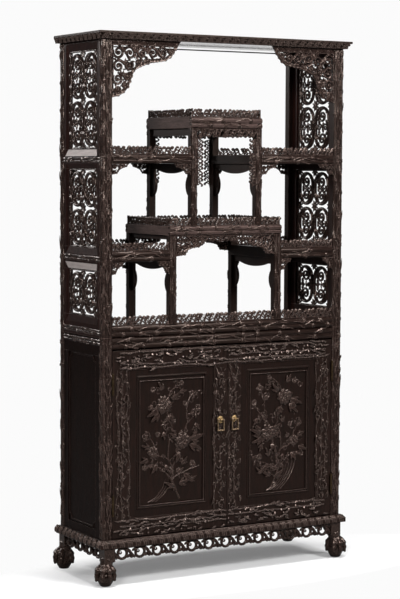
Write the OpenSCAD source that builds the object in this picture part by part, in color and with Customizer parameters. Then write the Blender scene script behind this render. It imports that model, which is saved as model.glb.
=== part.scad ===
// Carved sideboard with an open display case above and a two door cupboard below.
// Millimetres. +Z up, front towards -Y, origin under the middle of the feet.

/* [Cases] */
// Width over the corner posts
case_w = 1065; // [965:5:1200]
// Depth over the corner posts
case_d = 355; // [320:5:400]
// Height of the joint between the lower and the upper case
joint_z = 926; // [880:2:980]
// Height of the upper case, from the joint to its top
upper_h = 1124; // [1090:2:1200]
// Width of a corner post on the front
post_w = 40; // [36:1:46]
// Depth of a corner post on the side
post_d = 30; // [26:1:34]
// Thickness of the end frames between the corner posts
end_t = 22; // [18:1:26]
// Width of the stiles beside a fretwork panel
end_stile_w = 33; // [28:1:38]
// Width of the splayed edge of a stile round a fretwork panel
splay_w = 16; // [8:1:18]
// Greatest height of the splayed edges above and below a fretwork panel
splay_h = 27; // [12:1:30]

/* [Top] */
// Thickness of the top board
top_t = 22; // [18:1:26]
// How far the cornice stands out from the case
cornice_out = 26; // [18:1:32]
// Height of the cornice
cornice_h = 28; // [26:1:34]
// Height of the thin rail at the back under the top board
top_rail_h = 11; // [9:1:16]
// Thickness of the thin rail at the back under the top board
top_rail_t = 20; // [16:1:24]
// Height of the top rail of an end frame
end_top_rail_h = 40; // [34:1:50]
// Length of a corner spandrel along the top
spandrel_w = 276; // [240:2:320]
// Height of a corner spandrel along the post
spandrel_h = 193; // [170:1:215]
// Height of the plain strip along the top of a corner spandrel
strip_h = 23; // [18:1:30]

/* [Shelves] */
// Top of the low side shelves above the joint
low_shelf_up = 319; // [305:1:335]
// Top of the middle shelf above the joint
mid_shelf_up = 409; // [405:1:425]
// Top of the high side shelves above the joint
high_shelf_up = 677; // [665:1:690]
// Top of the crown shelf above the joint
crown_shelf_up = 819; // [810:1:835]
// Thickness of a shelf board
shelf_t = 16; // [14:1:20]
// Height of the rails round the low side shelves
low_rail_h = 40; // [36:1:44]
// Height of the rails round the middle shelf
mid_rail_h = 35; // [32:1:38]
// Height of the rails round the high side shelves
high_rail_h = 33; // [30:1:36]
// Height of the rails round the crown shelf
crown_rail_h = 42; // [38:1:46]
// Thickness of a shelf rail
rail_t = 18; // [16:1:22]
// Height of a pierced gallery
gallery_h = 36; // [32:1:40]
// Thickness of a pierced gallery
gallery_t = 9; // [7:1:12]
// Distance from one opening of a gallery to the next
gallery_pitch = 26; // [22:1:34]

/* [Inner posts] */
// Distance between the middles of the upper inner posts
high_post_gap = 288; // [270:2:310]
// Width of an upper inner post
high_post_w = 26; // [22:1:30]
// Distance between the middles of the lower inner posts
low_post_gap = 468; // [450:2:490]
// Width of a lower inner post
low_post_w = 30; // [26:1:34]
// Depth of the inner posts
inner_post_d = 30; // [28:1:36]
// Thickness of the cusped boards between front and back posts
divider_t = 10; // [8:1:14]
// Drop of a cusped head board at its middle
head_drop = 38; // [32:1:44]
// Height of a cusped side bracket
cusp_h = 130; // [110:2:145]
// How far a cusped side bracket bulges from its post
cusp_out = 32; // [26:1:38]

/* [Base of the upper case] */
// Height of the reeded base rail
base_rail_h = 42; // [38:1:46]
// Height of the gallery on the base rail
base_gallery_h = 42; // [36:1:46]

/* [Fretwork] */
// Thickness of a fretwork panel
fret_t = 12; // [9:1:15]
// Width of the bead round a fretwork panel
fret_bead = 6; // [5:0.5:8]
// Width of the band of an oval ring
ring_band = 10; // [8:0.5:12]
// Gap between an oval ring and the edge of its cell
ring_gap = 8; // [6:0.5:11]
// Width of the band of an inner scroll
scroll_band = 7; // [6:0.5:8]

/* [Aprons and brackets] */
// Thickness of the carved aprons and brackets
apron_t = 12; // [9:1:14]
// Height of the apron under the crown shelf
crown_apron_h = 40; // [34:1:46]
// Width of the hanging legs of the arch
arch_leg_w = 33; // [28:1:38]
// Height of the hanging legs of the arch, apron included
arch_leg_h = 215; // [190:5:240]
// Height of the apron under the middle shelf, at its middle
mid_apron_h = 30; // [26:1:34]
// Height of the apron under the middle shelf, at its ends
mid_apron_end_h = 78; // [66:1:84]
// Width of the deep ends of the middle apron
mid_apron_end_w = 125; // [100:1:140]
// Width of a bracket under a high side shelf
high_bracket_w = 70; // [60:1:80]
// Height of a bracket under a high side shelf
high_bracket_h = 41; // [36:1:48]
// Width of a bracket under a low side shelf
low_bracket_w = 48; // [42:1:56]
// Height of a bracket under a low side shelf
low_bracket_h = 46; // [40:1:52]

/* [Cupboard] */
// Height of the carved rail over the doors
head_rail_h = 46; // [40:1:54]
// Thickness of the carved rail over the doors
head_rail_t = 24; // [20:1:28]
// Thickness of the boards that close the cupboard
board_t = 18; // [15:1:22]
// Thickness of the back board
back_t = 12; // [10:1:16]
// Thickness of the end panels
end_panel_t = 12; // [9:1:14]
// Height of the bottom rail of an end
end_foot_h = 32; // [26:1:40]
// Height of the reeded top rail of an end
end_head_h = 68; // [58:1:78]
// Height of the cupboard shelf above the cupboard floor
inner_shelf_up = 350; // [250:5:450]
// Depth of the cupboard shelf
inner_shelf_d = 250; // [200:5:260]
// Section of the bearers under the cupboard shelf
bearer_s = 20; // [16:1:24]

/* [Doors] */
// Thickness of a door
door_t = 24; // [21:1:28]
// How far the meeting line of the doors lies right of the middle
meeting_x = 7; // [-10:1:12]
// Gap between the doors, and between a door and a post
door_gap = 2; // [1.75:0.25:3]
// Gap above and below a door
door_rise = 3; // [2:0.5:5]
// Width of the carved frame at the hinge side
hinge_stile_w = 72; // [64:1:80]
// Width of the carved frame at the meeting line
lock_stile_w = 60; // [54:1:68]
// Height of the carved frame at the top of a door
door_top_h = 75; // [66:1:84]
// Height of the carved frame at the bottom of a door
door_bottom_h = 70; // [62:1:80]
// Width of the plain border round the raised bead
border_w = 34; // [26:1:42]
// Width of the raised bead of a door panel
bead_w = 9; // [7:1:12]
// Depth of a panel groove
groove_d = 9; // [6:1:11]
// Width of a panel groove
groove_w = 8; // [6:1:9]
// Play of a panel in its groove
panel_play = 0.4; // [0.3:0.1:0.8]

/* [Brass] */
// Length of a hinge
hinge_h = 75; // [60:1:90]
// Height of the middle of a hinge from the end of the door
hinge_inset = 124; // [90:2:170]
// Radius of a hinge knuckle
knuckle_r = 4.5; // [4:0.25:5.5]
// Radius of a hinge pin
hinge_pin_r = 2.2; // [1.8:0.1:2.6]
// Thickness of a hinge leaf
leaf_t = 1.6; // [1.2:0.1:2]
// Width of a hinge leaf along the edge of the door
leaf_w = 19; // [15:0.5:20]
// Running play of a pin in its bore
pin_play = 0.05; // [0.03:0.01:0.09]
// Height of the pulls above the bottom of the doors
pull_up = 417; // [380:1:460]
// Distance of a pull from the edge of its door
pull_inset = 31; // [24:1:36]
// Radius of the round plate of a pull
plate_r = 14; // [12:0.5:17]
// Thickness of the round plate of a pull
plate_t = 2; // [1.5:0.25:3]
// Width of a drop pull
pull_w = 30; // [26:1:36]
// Height of a drop pull
pull_h = 46; // [38:1:54]
// Radius of the bar of a drop pull
pull_r = 2.2; // [1.8:0.1:2.6]

/* [Plinth and feet] */
// Height of the underside of the plinth moulding
plinth_z = 143; // [130:1:155]
// Height of the plinth moulding
plinth_h = 29; // [24:1:34]
// How far the plinth moulding stands out
plinth_out = 20; // [16:1:26]
// How far the plinth frame runs in under the case
plinth_in = 52; // [48:1:60]
// Side of a square leg
leg_s = 40; // [36:1:46]
// How far the middle of a leg lies inside the side of the case
leg_in_side = 23; // [20:1:28]
// How far the middle of a leg lies inside the front or the back of the case
leg_in_front = 8; // [4:1:14]
// How far the ball of a foot stands out from its leg to the side
ball_out_x = 10; // [4:1:12]
// How far the ball of a foot stands out from its leg to the front or the back
ball_out_y = 4; // [0:1:8]
// Height of a claw and ball foot
foot_h = 76; // [70:1:82]
// Radius of the ball of a foot
ball_r = 32; // [30:0.5:35]
// Radius of a toe
toe_r = 9; // [7.5:0.5:10]
// Height of the pierced apron under the plinth
skirt_h = 54; // [48:1:60]
// Thickness of the pierced apron under the plinth
skirt_t = 14; // [11:1:18]
// Distance from one scroll of the pierced apron to the next
skirt_pitch = 68; // [58:1:80]

/* [Hidden] */
$fn = 40;

half_w = case_w / 2;
front_y = -case_d / 2;
back_y = case_d / 2;
top_z = joint_z + upper_h;
frame_top_z = top_z - top_t;
low_shelf_z = joint_z + low_shelf_up;
mid_shelf_z = joint_z + mid_shelf_up;
high_shelf_z = joint_z + high_shelf_up;
crown_z = joint_z + crown_shelf_up;
base_z = joint_z + base_rail_h;
plinth_top = plinth_z + plinth_h;
// Gap of a glued joint between two solids of one piece
glue = 0.2;
// Inner faces of the corner posts
inner_x = half_w - post_w;
inner_y = case_d / 2 - post_d;
// How far flat faces lie behind the round of the reeds
reed_set = 2;
// Adjoining reeds bite into each other by this share of their radius
reed_bite = 1.08;
// How far a knot stands out from its reed, how tall it is and how far apart knots are
knot_out = 1.2;
knot_h = 7;
knot_pitch = 88;
// Outer and inner faces of the end frames
end_out_x = half_w - reed_set;
end_in_x = end_out_x - end_t;
// Half the opening between the stiles of an end frame
fret_half = inner_y - end_stile_w;
// Outer and inner faces of the inner posts, and where the pieces between them end
high_out_x = (high_post_gap + high_post_w) / 2;
high_in_x = (high_post_gap - high_post_w) / 2;
low_out_x = (low_post_gap + low_post_w) / 2;
low_in_x = (low_post_gap - low_post_w) / 2;
divider_y = case_d / 2 - inner_post_d;
// Undersides of the shelf rails
crown_under_z = crown_z - crown_rail_h;
high_under_z = high_shelf_z - high_rail_h;
mid_under_z = mid_shelf_z - mid_rail_h;
low_under_z = low_shelf_z - low_rail_h;
// Height of a pair of reeds on a rail of an end frame
reed_pair_h = 25;
// How far each rail of an end frame reaches above and below its shelf or the joint
high_rail_up = 19;
high_rail_down = 54;
low_rail_up = 10;
low_rail_down = 74;
base_rail_up = 72;
// Bottom and top of each fretwork opening of an end frame
high_fret_z = [high_shelf_z + high_rail_up, frame_top_z - end_top_rail_h];
mid_fret_z = [low_shelf_z + low_rail_up, high_shelf_z - high_rail_down];
low_fret_z = [joint_z + base_rail_up, low_shelf_z - low_rail_down];
// Lower edge of each pair of reeds, from its shelf or the joint
high_reed_down = 34;
low_reed_down = 42;
base_reed_up = 6;
cupboard_reed_down = 31;
high_reed_z = high_shelf_z - high_reed_down;
low_reed_z = low_shelf_z - low_reed_down;
base_reed_z = joint_z + base_reed_up;
cupboard_reed_z = joint_z - cupboard_reed_down;
// Outer face of the fretwork panels, which the splayed edges of their openings run down to
fret_out_x = end_out_x - (end_t - fret_t) / 2;
// Leaf ties and knot arms of the fretwork, and how deep its parts bite into each other
tie_w = 12;
knot_arm_w = 7;
fret_bite = 1.5;
// How far a gallery stands behind the face of its rail
gallery_set = 4;
// Height of the thin board under the next shelf, above a cusped opening
high_flap_h = 28;
low_flap_h = 16;
// Opening of an end of the cupboard
end_open_z = [plinth_top + end_foot_h, joint_z - end_head_h];
// The front of the doors lies this far behind the front of the posts
door_set = 3;
door_y = front_y + door_set;
door_z0 = plinth_top + door_rise;
door_z1 = joint_z - head_rail_h - door_rise;
// Edges of the doors
left_door_x = [-inner_x + door_gap, meeting_x - door_gap / 2];
right_door_x = [meeting_x + door_gap / 2, inner_x - door_gap];
// Axis of the left hinges, lower ends of the hinges and the gap between knuckles
hinge_x = -inner_x + door_gap / 2;
hinge_y = front_y - knuckle_r * 0.45;
hinge_levels = [door_z0 + hinge_inset - hinge_h / 2, door_z1 - hinge_inset - hinge_h / 2];
knuckle_gap = 0.4;
// Pivot of the pulls and how far it lies before the door
pull_z = door_z0 + pull_up;
pull_y = door_y - plate_t - 6;
eye_r = 4.4;
// Middle of the legs
leg_x = half_w - leg_in_side;
leg_y = case_d / 2 - leg_in_front;
claw_reach = 46;
claw_drop = 28;
// The flat under the ball, and how deep the ankle and the leg run into each other
sole_cut = 1.5;
ankle_bite = 6;
// How far the pierced apron lies behind the faces of the legs
skirt_set = 4;

// A box between two corners
module slab(x0, x1, y0, y1, z0, z1) {
    translate([x0, y0, z0])
        cube([x1 - x0, y1 - y0, z1 - z0]);
}

// The children and their mirror image on the other side
module pair() {
    children();
    mirror([1, 0, 0])
        children();
}

// The children and their mirror image at the back
module front_and_back() {
    children();
    mirror([0, 1, 0])
        children();
}

// A drawing of width and height, cut from a board that faces the front
module front_cut(y, t) {
    translate([0, y + t, 0])
        rotate([90, 0, 0])
            linear_extrude(t)
                children();
}

// A drawing of depth and height, cut from a board that faces the side
module side_cut(x, t) {
    translate([x, 0, 0])
        rotate([90, 0, 90])
            linear_extrude(t)
                children();
}

// Radius of n reeds side by side in a width, and the distance between them
function reed_r(width, n) = width / (2 * n) * reed_bite;
function reed_step(width, n) = (width - 2 * reed_r(width, n)) / (n - 1);

// A post of two reeds on a flat back, upright, with its round towards -Y, knots staggered
module reeded_stick(x0, x1, y, t, z0, z1) {
    r = reed_r(x1 - x0, 2);
    count = floor((z1 - z0) / knot_pitch) - 1;
    union() {
        slab(x0, x1, y + r, y + t, z0, z1);
        for (i = [0 : 1])
            translate([i == 0 ? x0 + r : x1 - r, y + r, 0]) {
                translate([0, 0, z0])
                    cylinder(r = r, h = z1 - z0);
                for (k = [0 : count])
                    translate([0, -knot_out, z0 + (k + 0.4 + i * 0.35) * knot_pitch])
                        cylinder(r = r, h = knot_h);
            }
    }
}

// Knots on the two outer reeds of a left front post, staggered
module post_knots(z0, z1) {
    r = reed_r(post_w, 3);
    count = floor((z1 - z0) / knot_pitch) - 1;
    for (i = [0 : 1])
        for (k = [0 : count])
            translate([-half_w + r + i * reed_step(post_w, 3), front_y + r - knot_out,
                z0 + (k + 0.5 + i * 0.45) * knot_pitch])
                cylinder(r = r, h = knot_h);
}

// A corner post of the left front: three reeds wide, plain behind
module reeded_post(z0, z1) {
    r = reed_r(post_w, 3);
    union() {
        slab(-end_out_x, -inner_x, front_y + r, -inner_y, z0, z1);
        for (i = [0 : 2])
            translate([-half_w + r + i * reed_step(post_w, 3), front_y + r, z0])
                cylinder(r = r, h = z1 - z0);
        post_knots(z0, z1);
    }
}

// A rail of two lying reeds on a flat back, along X, with its round towards -Y
module reed_rail(x0, x1, y, t, z0, z1) {
    r = reed_r(z1 - z0, 2);
    intersection() {
        slab(x0, x1, y, y + t, z0, z1);
        union() {
            slab(x0, x1, y + r, y + r + t, z0, z1);
            for (z = [z0 + r, z1 - r])
                translate([x0, y + r, z])
                    rotate([0, 90, 0])
                        cylinder(r = r, h = x1 - x0);
        }
    }
}

// The outline of a strip of scrolling vine: a foot bar, round leaves and pierced eyes
module vine(len, h) {
    n = max(1, round(len / gallery_pitch));
    p = len / n;
    leaf_r = h * 0.3;
    difference() {
        union() {
            square([len, h - leaf_r]);
            for (i = [0 : n - 1])
                translate([(i + 0.5) * p, h - leaf_r])
                    circle(min(leaf_r, p / 2 - 0.5));
        }
        for (i = [0 : n - 1])
            translate([(i + 0.5) * p, h * 0.56])
                circle(h * 0.17);
        if (n > 1)
            for (i = [1 : n - 1])
                translate([i * p, h * 0.27])
                    circle(h * 0.13);
    }
}

// The outline of a vine that hangs from its top edge
module hanging_vine(len, h) {
    mirror([0, 1])
        vine(len, h);
}

// The pierced eyes of a carved corner, each given as shares of its width and height
module eyes(w, h, list) {
    for (c = list)
        translate([c[0] * w, -c[1] * h])
            circle(c[2] * h);
}

// A front moulding with mitred ends; the children are its outline
module mitred_front(out, inset) {
    intersection() {
        translate([-half_w - out, front_y, 0])
            rotate([90, 0, 90])
                linear_extrude(case_w + 2 * out)
                    mirror([1, 0])
                        children();
        linear_extrude(top_z + 1)
            polygon([[-half_w - out, front_y - out], [half_w + out, front_y - out],
                [half_w - inset, front_y + inset], [-half_w + inset, front_y + inset]]);
    }
}

// A left side moulding, mitred at the front and square at the back
module mitred_side(out, inset) {
    intersection() {
        translate([-half_w, back_y, 0])
            rotate([90, 0, 0])
                linear_extrude(case_d + out)
                    mirror([1, 0])
                        children();
        linear_extrude(top_z + 1)
            polygon([[-half_w - out, front_y - out + glue], [-half_w + inset, front_y + inset + glue],
                [-half_w + inset, back_y], [-half_w - out, back_y]]);
    }
}

module top_board() {
    color("#2a1a17")
        slab(-half_w, half_w, front_y, back_y, frame_top_z, top_z);
}

// The outline of the cornice: a bead, a hollow and a square lip, widening upwards
module cornice_outline() {
    out = cornice_out;
    h = cornice_h;
    translate([0, top_z - h])
        difference() {
            square([out, h]);
            translate([out, h * 0.22])
                circle(out * 0.52);
            translate([out * 0.42, -1])
                square([out, h * 0.3]);
        }
}

module cornice() {
    color("#33221f") {
        mitred_front(cornice_out, 0)
            cornice_outline();
        pair()
            mitred_side(cornice_out, 0)
                cornice_outline();
    }
}

// The thin rail at the back under the top board
module top_rails() {
    color("#3a2421")
        slab(-inner_x, inner_x, back_y - reed_set - top_rail_t, back_y - reed_set,
            frame_top_z - top_rail_h, frame_top_z);
}

// The outline of the left spandrel, from its corner: stepped, lobed and pierced, under a plain strip
module spandrel_outline(w, h) {
    difference() {
        union() {
            polygon([[0, 0], [0, -h], [0.09 * w, -0.97 * h], [0.18 * w, -0.89 * h],
                [0.24 * w, -0.8 * h], [0.3 * w, -0.66 * h], [0.29 * w, -0.58 * h],
                [0.32 * w, -0.5 * h], [0.38 * w, -0.43 * h], [0.48 * w, -0.37 * h],
                [0.68 * w, -0.3 * h], [0.81 * w, -0.27 * h], [0.87 * w, -0.22 * h],
                [0.965 * w, -0.05 * h], [w, 0]]);
            polygon([[0, -1], [w - 1, -1], [w + strip_h * 0.7, strip_h], [0, strip_h]]);
            eyes(w, h, [[0.8, 0.2, 0.12], [0.6, 0.26, 0.11], [0.28, 0.46, 0.13], [0.15, 0.8, 0.13]]);
        }
        eyes(w, h, [[0.9, 0.075, 0.04], [0.825, 0.09, 0.052], [0.8, 0.23, 0.05], [0.735, 0.1, 0.058],
            [0.69, 0.225, 0.045], [0.64, 0.095, 0.058], [0.6, 0.25, 0.055], [0.55, 0.1, 0.056],
            [0.5, 0.27, 0.06], [0.46, 0.1, 0.056], [0.4, 0.29, 0.065], [0.37, 0.1, 0.056],
            [0.28, 0.1, 0.056], [0.3, 0.3, 0.065], [0.18, 0.11, 0.065], [0.06, 0.1, 0.055],
            [0.19, 0.31, 0.07], [0.085, 0.27, 0.065], [0.28, 0.47, 0.06], [0.08, 0.44, 0.065],
            [0.175, 0.52, 0.058], [0.09, 0.62, 0.068], [0.2, 0.68, 0.06], [0.14, 0.82, 0.055],
            [0.05, 0.78, 0.04], [0.045, 0.9, 0.03]]);
    }
}

module left_spandrel() {
    color("#30201d")
        translate([-inner_x, 0, frame_top_z - strip_h])
            front_cut(front_y + reed_set, apron_t)
                spandrel_outline(spandrel_w, spandrel_h);
}

module right_spandrel() {
    mirror([1, 0, 0])
        left_spandrel();
}

module upper_front_posts() {
    color("#2e1e1b")
        pair()
            reeded_post(joint_z, frame_top_z);
}

module upper_back_posts() {
    color("#2e1e1b")
        pair()
            slab(-end_out_x, -inner_x, inner_y, back_y - reed_set, joint_z, frame_top_z);
}

// A rail of an end frame with a pair of reeds planted on its face
module end_rail(z0, z1, reed_z0) {
    r = reed_r(reed_pair_h, 2);
    union() {
        slab(-end_out_x, -end_in_x, -inner_y, inner_y, z0, z1);
        for (z = [reed_z0 + r, reed_z0 + reed_pair_h - r])
            translate([-half_w + r, -inner_y, z])
                rotate([-90, 0, 0])
                    cylinder(r = r, h = 2 * inner_y);
    }
}

// The two stiles beside an opening of an end frame
module end_stiles(z0, z1) {
    front_and_back()
        slab(-end_out_x, -end_in_x, -inner_y, -fret_half, z0 + glue, z1 - glue);
}

// What the splayed edges take from the outer face round an opening of an end frame; down and up
// are the room below and above it
module splay(level, down, up) {
    out_x = -end_out_x - 0.05;
    half_y = fret_half + splay_w;
    z0 = level[0] - min(splay_h, down - 1);
    z1 = level[1] + min(splay_h, up - 1);
    intersection() {
        front_cut(-half_y, 2 * half_y)
            polygon([[out_x, z0], [-fret_out_x, level[0]], [-fret_out_x, level[1]], [out_x, z1]]);
        translate([0, 0, z0])
            linear_extrude(z1 - z0)
                polygon([[out_x, -half_y], [-fret_out_x, -fret_half], [-fret_out_x, fret_half],
                    [out_x, half_y]]);
    }
}

module left_end_frame() {
    levels = [high_fret_z, mid_fret_z, low_fret_z];
    color("#3a2522")
        difference() {
            union() {
                slab(-end_out_x, -end_in_x, -inner_y, inner_y, high_fret_z[1], frame_top_z);
                end_rail(mid_fret_z[1], high_fret_z[0], high_reed_z);
                end_rail(low_fret_z[1], mid_fret_z[0], low_reed_z);
                end_rail(joint_z, low_fret_z[0], base_reed_z);
                for (level = levels)
                    end_stiles(level[0], level[1]);
            }
            splay(high_fret_z, high_fret_z[0] - high_reed_z - reed_pair_h, end_top_rail_h);
            splay(mid_fret_z, mid_fret_z[0] - low_reed_z - reed_pair_h, high_reed_z - mid_fret_z[1]);
            splay(low_fret_z, low_fret_z[0] - base_reed_z - reed_pair_h, low_reed_z - low_fret_z[1]);
        }
}

module right_end_frame() {
    mirror([1, 0, 0])
        left_end_frame();
}

// A shape like a racecourse, a wide and b high from its middle
module oval(a, b) {
    union() {
        translate([0, b - a])
            circle(a);
        translate([0, a - b])
            circle(a);
        square([2 * a, 2 * (b - a)], center = true);
    }
}

// One cell of the fretwork: an oval ring round two curled scrolls, held by leaf ties
module fret_cell(cell_w, cell_h) {
    a = cell_w / 2 - ring_gap;
    b = max(a + fret_bite, cell_h / 2 - ring_gap);
    in_a = a - ring_band;
    scroll_r = in_a * 0.72;
    bud_r = scroll_r * 0.34;
    scroll_z = b - ring_band - scroll_r + fret_bite;
    waist = scroll_z - scroll_r + fret_bite;
    difference() {
        oval(a, b);
        oval(in_a, b - ring_band);
    }
    for (s = [-1, 1]) {
        translate([0, s * scroll_z]) {
            difference() {
                circle(scroll_r);
                circle(scroll_r - scroll_band);
            }
            translate([scroll_r - scroll_band - bud_r + fret_bite, 0])
                circle(bud_r);
            difference() {
                square([2 * (in_a + fret_bite), tie_w * 0.6], center = true);
                circle(scroll_r - scroll_band / 2);
            }
        }
        translate([s * (cell_w - ring_gap) / 2, 0])
            square([ring_gap + 2 * fret_bite, tie_w], center = true);
        translate([0, s * (cell_h - ring_gap) / 2])
            square([tie_w, ring_gap + 2 * fret_bite], center = true);
    }
    if (waist > scroll_band + fret_bite)
        difference() {
            circle(waist);
            circle(waist - scroll_band);
        }
}

// A fretwork panel in its bead, rows of two cells with knots where four cells meet
module fret_outline(z0, z1, rows) {
    cell_w = fret_half - fret_bead;
    cell_h = (z1 - z0 - 2 * fret_bead) / rows;
    knot_r = ring_gap * 1.3;
    ring_a = cell_w / 2 - ring_gap;
    reach = cell_w / 2 * sqrt(2) - ring_a + ring_band / 2;
    difference() {
        translate([-fret_half, z0])
            square([2 * fret_half, z1 - z0]);
        translate([-cell_w, z0 + fret_bead])
            square([2 * cell_w, z1 - z0 - 2 * fret_bead]);
    }
    for (i = [-1, 1])
        for (k = [0 : rows - 1])
            translate([i * cell_w / 2, z0 + fret_bead + (k + 0.5) * cell_h])
                mirror([i > 0 ? 1 : 0, 0])
                    fret_cell(cell_w, cell_h);
    intersection() {
        translate([-fret_half, z0])
            square([2 * fret_half, z1 - z0]);
        for (i = [-1 : 1])
            for (k = [0 : rows])
                translate([i * cell_w, z0 + fret_bead + k * cell_h])
                    difference() {
                        union() {
                            circle(knot_r);
                            for (a = [45, 135])
                                rotate(a)
                                    square([2 * reach, knot_arm_w], center = true);
                        }
                        circle(knot_r * 0.42);
                    }
    }
}

module fret_panel(level, rows) {
    color("#2b1b19")
        side_cut(-fret_out_x, fret_t)
            fret_outline(level[0], level[1], rows);
}

module left_high_fret() {
    fret_panel(high_fret_z, 2);
}

module left_mid_fret() {
    fret_panel(mid_fret_z, 2);
}

module left_low_fret() {
    fret_panel(low_fret_z, 1);
}

module right_high_fret() {
    mirror([1, 0, 0])
        left_high_fret();
}

module right_mid_fret() {
    mirror([1, 0, 0])
        left_mid_fret();
}

module right_low_fret() {
    mirror([1, 0, 0])
        left_low_fret();
}

// A shelf of the middle: a board inside rails on four sides
module ringed_board(x, z) {
    slab(-x + rail_t, x - rail_t, front_y + rail_t, back_y - rail_t, z - shelf_t, z);
}

// Reeded rails at the front and back and plain fascias at the sides
module ringed_rails(x, z, h) {
    front_and_back()
        reed_rail(-x, x, front_y, rail_t, z - h, z);
    pair()
        slab(-x, -x + rail_t, front_y + rail_t + glue, back_y - rail_t - glue, z - h, z);
}

// A gallery along X, near the front edge of its rail
module front_gallery(x0, x1, z, h) {
    translate([x0, 0, z])
        front_cut(front_y + gallery_set, gallery_t)
            vine(x1 - x0, h);
}

// A gallery along Y at the left end of a shelf, between the front and the back gallery
module side_gallery(x, z) {
    half_y = case_d / 2 - gallery_set - gallery_t - glue;
    translate([0, -half_y, z])
        side_cut(x, gallery_t)
            vine(2 * half_y, gallery_h);
}

module crown_shelf() {
    color("#3b2723")
        ringed_board(high_out_x, crown_z);
}

module crown_rails() {
    color("#33211e")
        ringed_rails(high_out_x, crown_z, crown_rail_h);
}

module crown_gallery() {
    end = high_out_x - gallery_set;
    color("#2c1c1a") {
        front_and_back()
            front_gallery(-end, end, crown_z, gallery_h);
        pair()
            side_gallery(-end, crown_z);
    }
}

// The outline of a hanging leg of the arch beside the left post, lobed towards the middle
module arch_leg(w, h) {
    n = max(2, round(h / gallery_pitch));
    step = h / n;
    spine = w * 0.45;
    difference() {
        union() {
            translate([0, -h])
                square([spine, h]);
            for (i = [0 : n - 1])
                translate([spine, -(i + 0.5) * step])
                    circle(min(w - spine, step / 2));
        }
        for (i = [0 : n - 1])
            translate([spine * 1.05, -(i + 0.5) * step])
                circle(w * 0.14);
    }
}

// The arch under the crown shelf: an apron and two legs that hang beside the posts
module crown_arch() {
    color("#2e1e1b")
        front_and_back() {
            translate([-high_in_x, 0, crown_under_z])
                front_cut(front_y + reed_set, apron_t)
                    hanging_vine(2 * high_in_x, crown_apron_h);
            pair()
                translate([-high_in_x, 0, crown_under_z - crown_apron_h - glue])
                    front_cut(front_y + reed_set, apron_t)
                        arch_leg(arch_leg_w, arch_leg_h - crown_apron_h);
        }
}

// The part of an upper inner post that is let into the edge of the middle shelf
module post_foot() {
    slab(-high_out_x, -high_in_x, front_y + rail_t, -divider_y, mid_shelf_z - shelf_t, mid_shelf_z);
}

module high_inner_posts() {
    color("#33211e")
        front_and_back()
            pair()
                union() {
                    reeded_stick(-high_out_x, -high_in_x, front_y, inner_post_d,
                        mid_shelf_z, crown_under_z);
                    post_foot();
                }
}

// The board of a left side shelf, from the end frame to an inner post
module side_shelf(x_in, z) {
    union() {
        slab(-inner_x, -x_in, front_y + rail_t, back_y - rail_t, z - shelf_t, z);
        slab(-end_in_x, -inner_x, -inner_y, inner_y, z - shelf_t, z);
    }
}

module high_side_shelves() {
    color("#3b2723")
        pair()
            side_shelf(high_out_x, high_shelf_z);
}

module low_side_shelves() {
    color("#3b2723")
        pair()
            side_shelf(low_out_x, low_shelf_z);
}

module high_side_rails() {
    color("#33211e")
        pair()
            front_and_back()
                reed_rail(-inner_x, -high_out_x, front_y, rail_t, high_under_z, high_shelf_z);
}

module low_side_rails() {
    color("#33211e")
        pair()
            front_and_back()
                reed_rail(-inner_x, -low_out_x, front_y, rail_t, low_under_z, low_shelf_z);
}

module side_galleries() {
    color("#2c1c1a")
        pair()
            front_and_back() {
                front_gallery(-inner_x, -high_out_x, high_shelf_z, gallery_h);
                front_gallery(-inner_x, -low_out_x, low_shelf_z, gallery_h);
            }
}

// The outline of a bracket in the upper left corner, lobed and pierced
module bracket_outline(w, h) {
    difference() {
        union() {
            polygon([[0, 0], [0, -h], [0.28 * w, -0.9 * h], [0.42 * w, -0.6 * h],
                [0.6 * w, -0.36 * h], [0.86 * w, -0.24 * h], [w, 0]]);
            eyes(w, h, [[0.52, 0.34, 0.2], [0.26, 0.68, 0.2]]);
        }
        eyes(w, h, [[0.17, 0.3, 0.14], [0.44, 0.25, 0.1], [0.7, 0.14, 0.075], [0.2, 0.7, 0.09]]);
    }
}

// A pair of brackets in the upper corners of a side compartment
module bracket_pair(x_in, z, w, h) {
    front_cut(front_y + reed_set, apron_t) {
        translate([-inner_x, z])
            bracket_outline(w, h);
        translate([-x_in, z])
            mirror([1, 0])
                bracket_outline(w, h);
    }
}

module side_brackets() {
    color("#2e1e1b")
        pair()
            front_and_back() {
                bracket_pair(high_out_x, high_under_z, high_bracket_w, high_bracket_h);
                bracket_pair(low_out_x, low_under_z, low_bracket_w, low_bracket_h);
            }
}

// The drooping head of a cusped opening, from its top edge
module cusp_head(half_y, drop) {
    rise = drop * 0.62;
    belly = drop - rise;
    chord = half_y * 0.7;
    belly_r = (chord * chord + belly * belly) / (2 * belly);
    union() {
        translate([-half_y, -rise])
            square([2 * half_y, rise]);
        intersection() {
            translate([0, belly_r - drop])
                circle(belly_r);
            translate([-chord, -drop])
                square([2 * chord, drop]);
        }
    }
}

// A side bracket of a cusped opening, bulging from the front post
module cusp_side(half_y, drop, h, out) {
    rise = drop * 0.62 + glue;
    neck_h = drop * 0.3;
    bulge_h = h - rise - neck_h;
    bulge_r = (bulge_h * bulge_h / 4 + out * out) / (2 * out);
    union() {
        translate([-half_y, -rise - neck_h - bulge_h * 0.2])
            square([out * 0.6, neck_h + bulge_h * 0.2]);
        intersection() {
            translate([-half_y + out - bulge_r, -rise - neck_h - bulge_h / 2])
                circle(bulge_r);
            translate([-half_y, -h])
                square([out, h - rise]);
        }
    }
}

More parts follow.
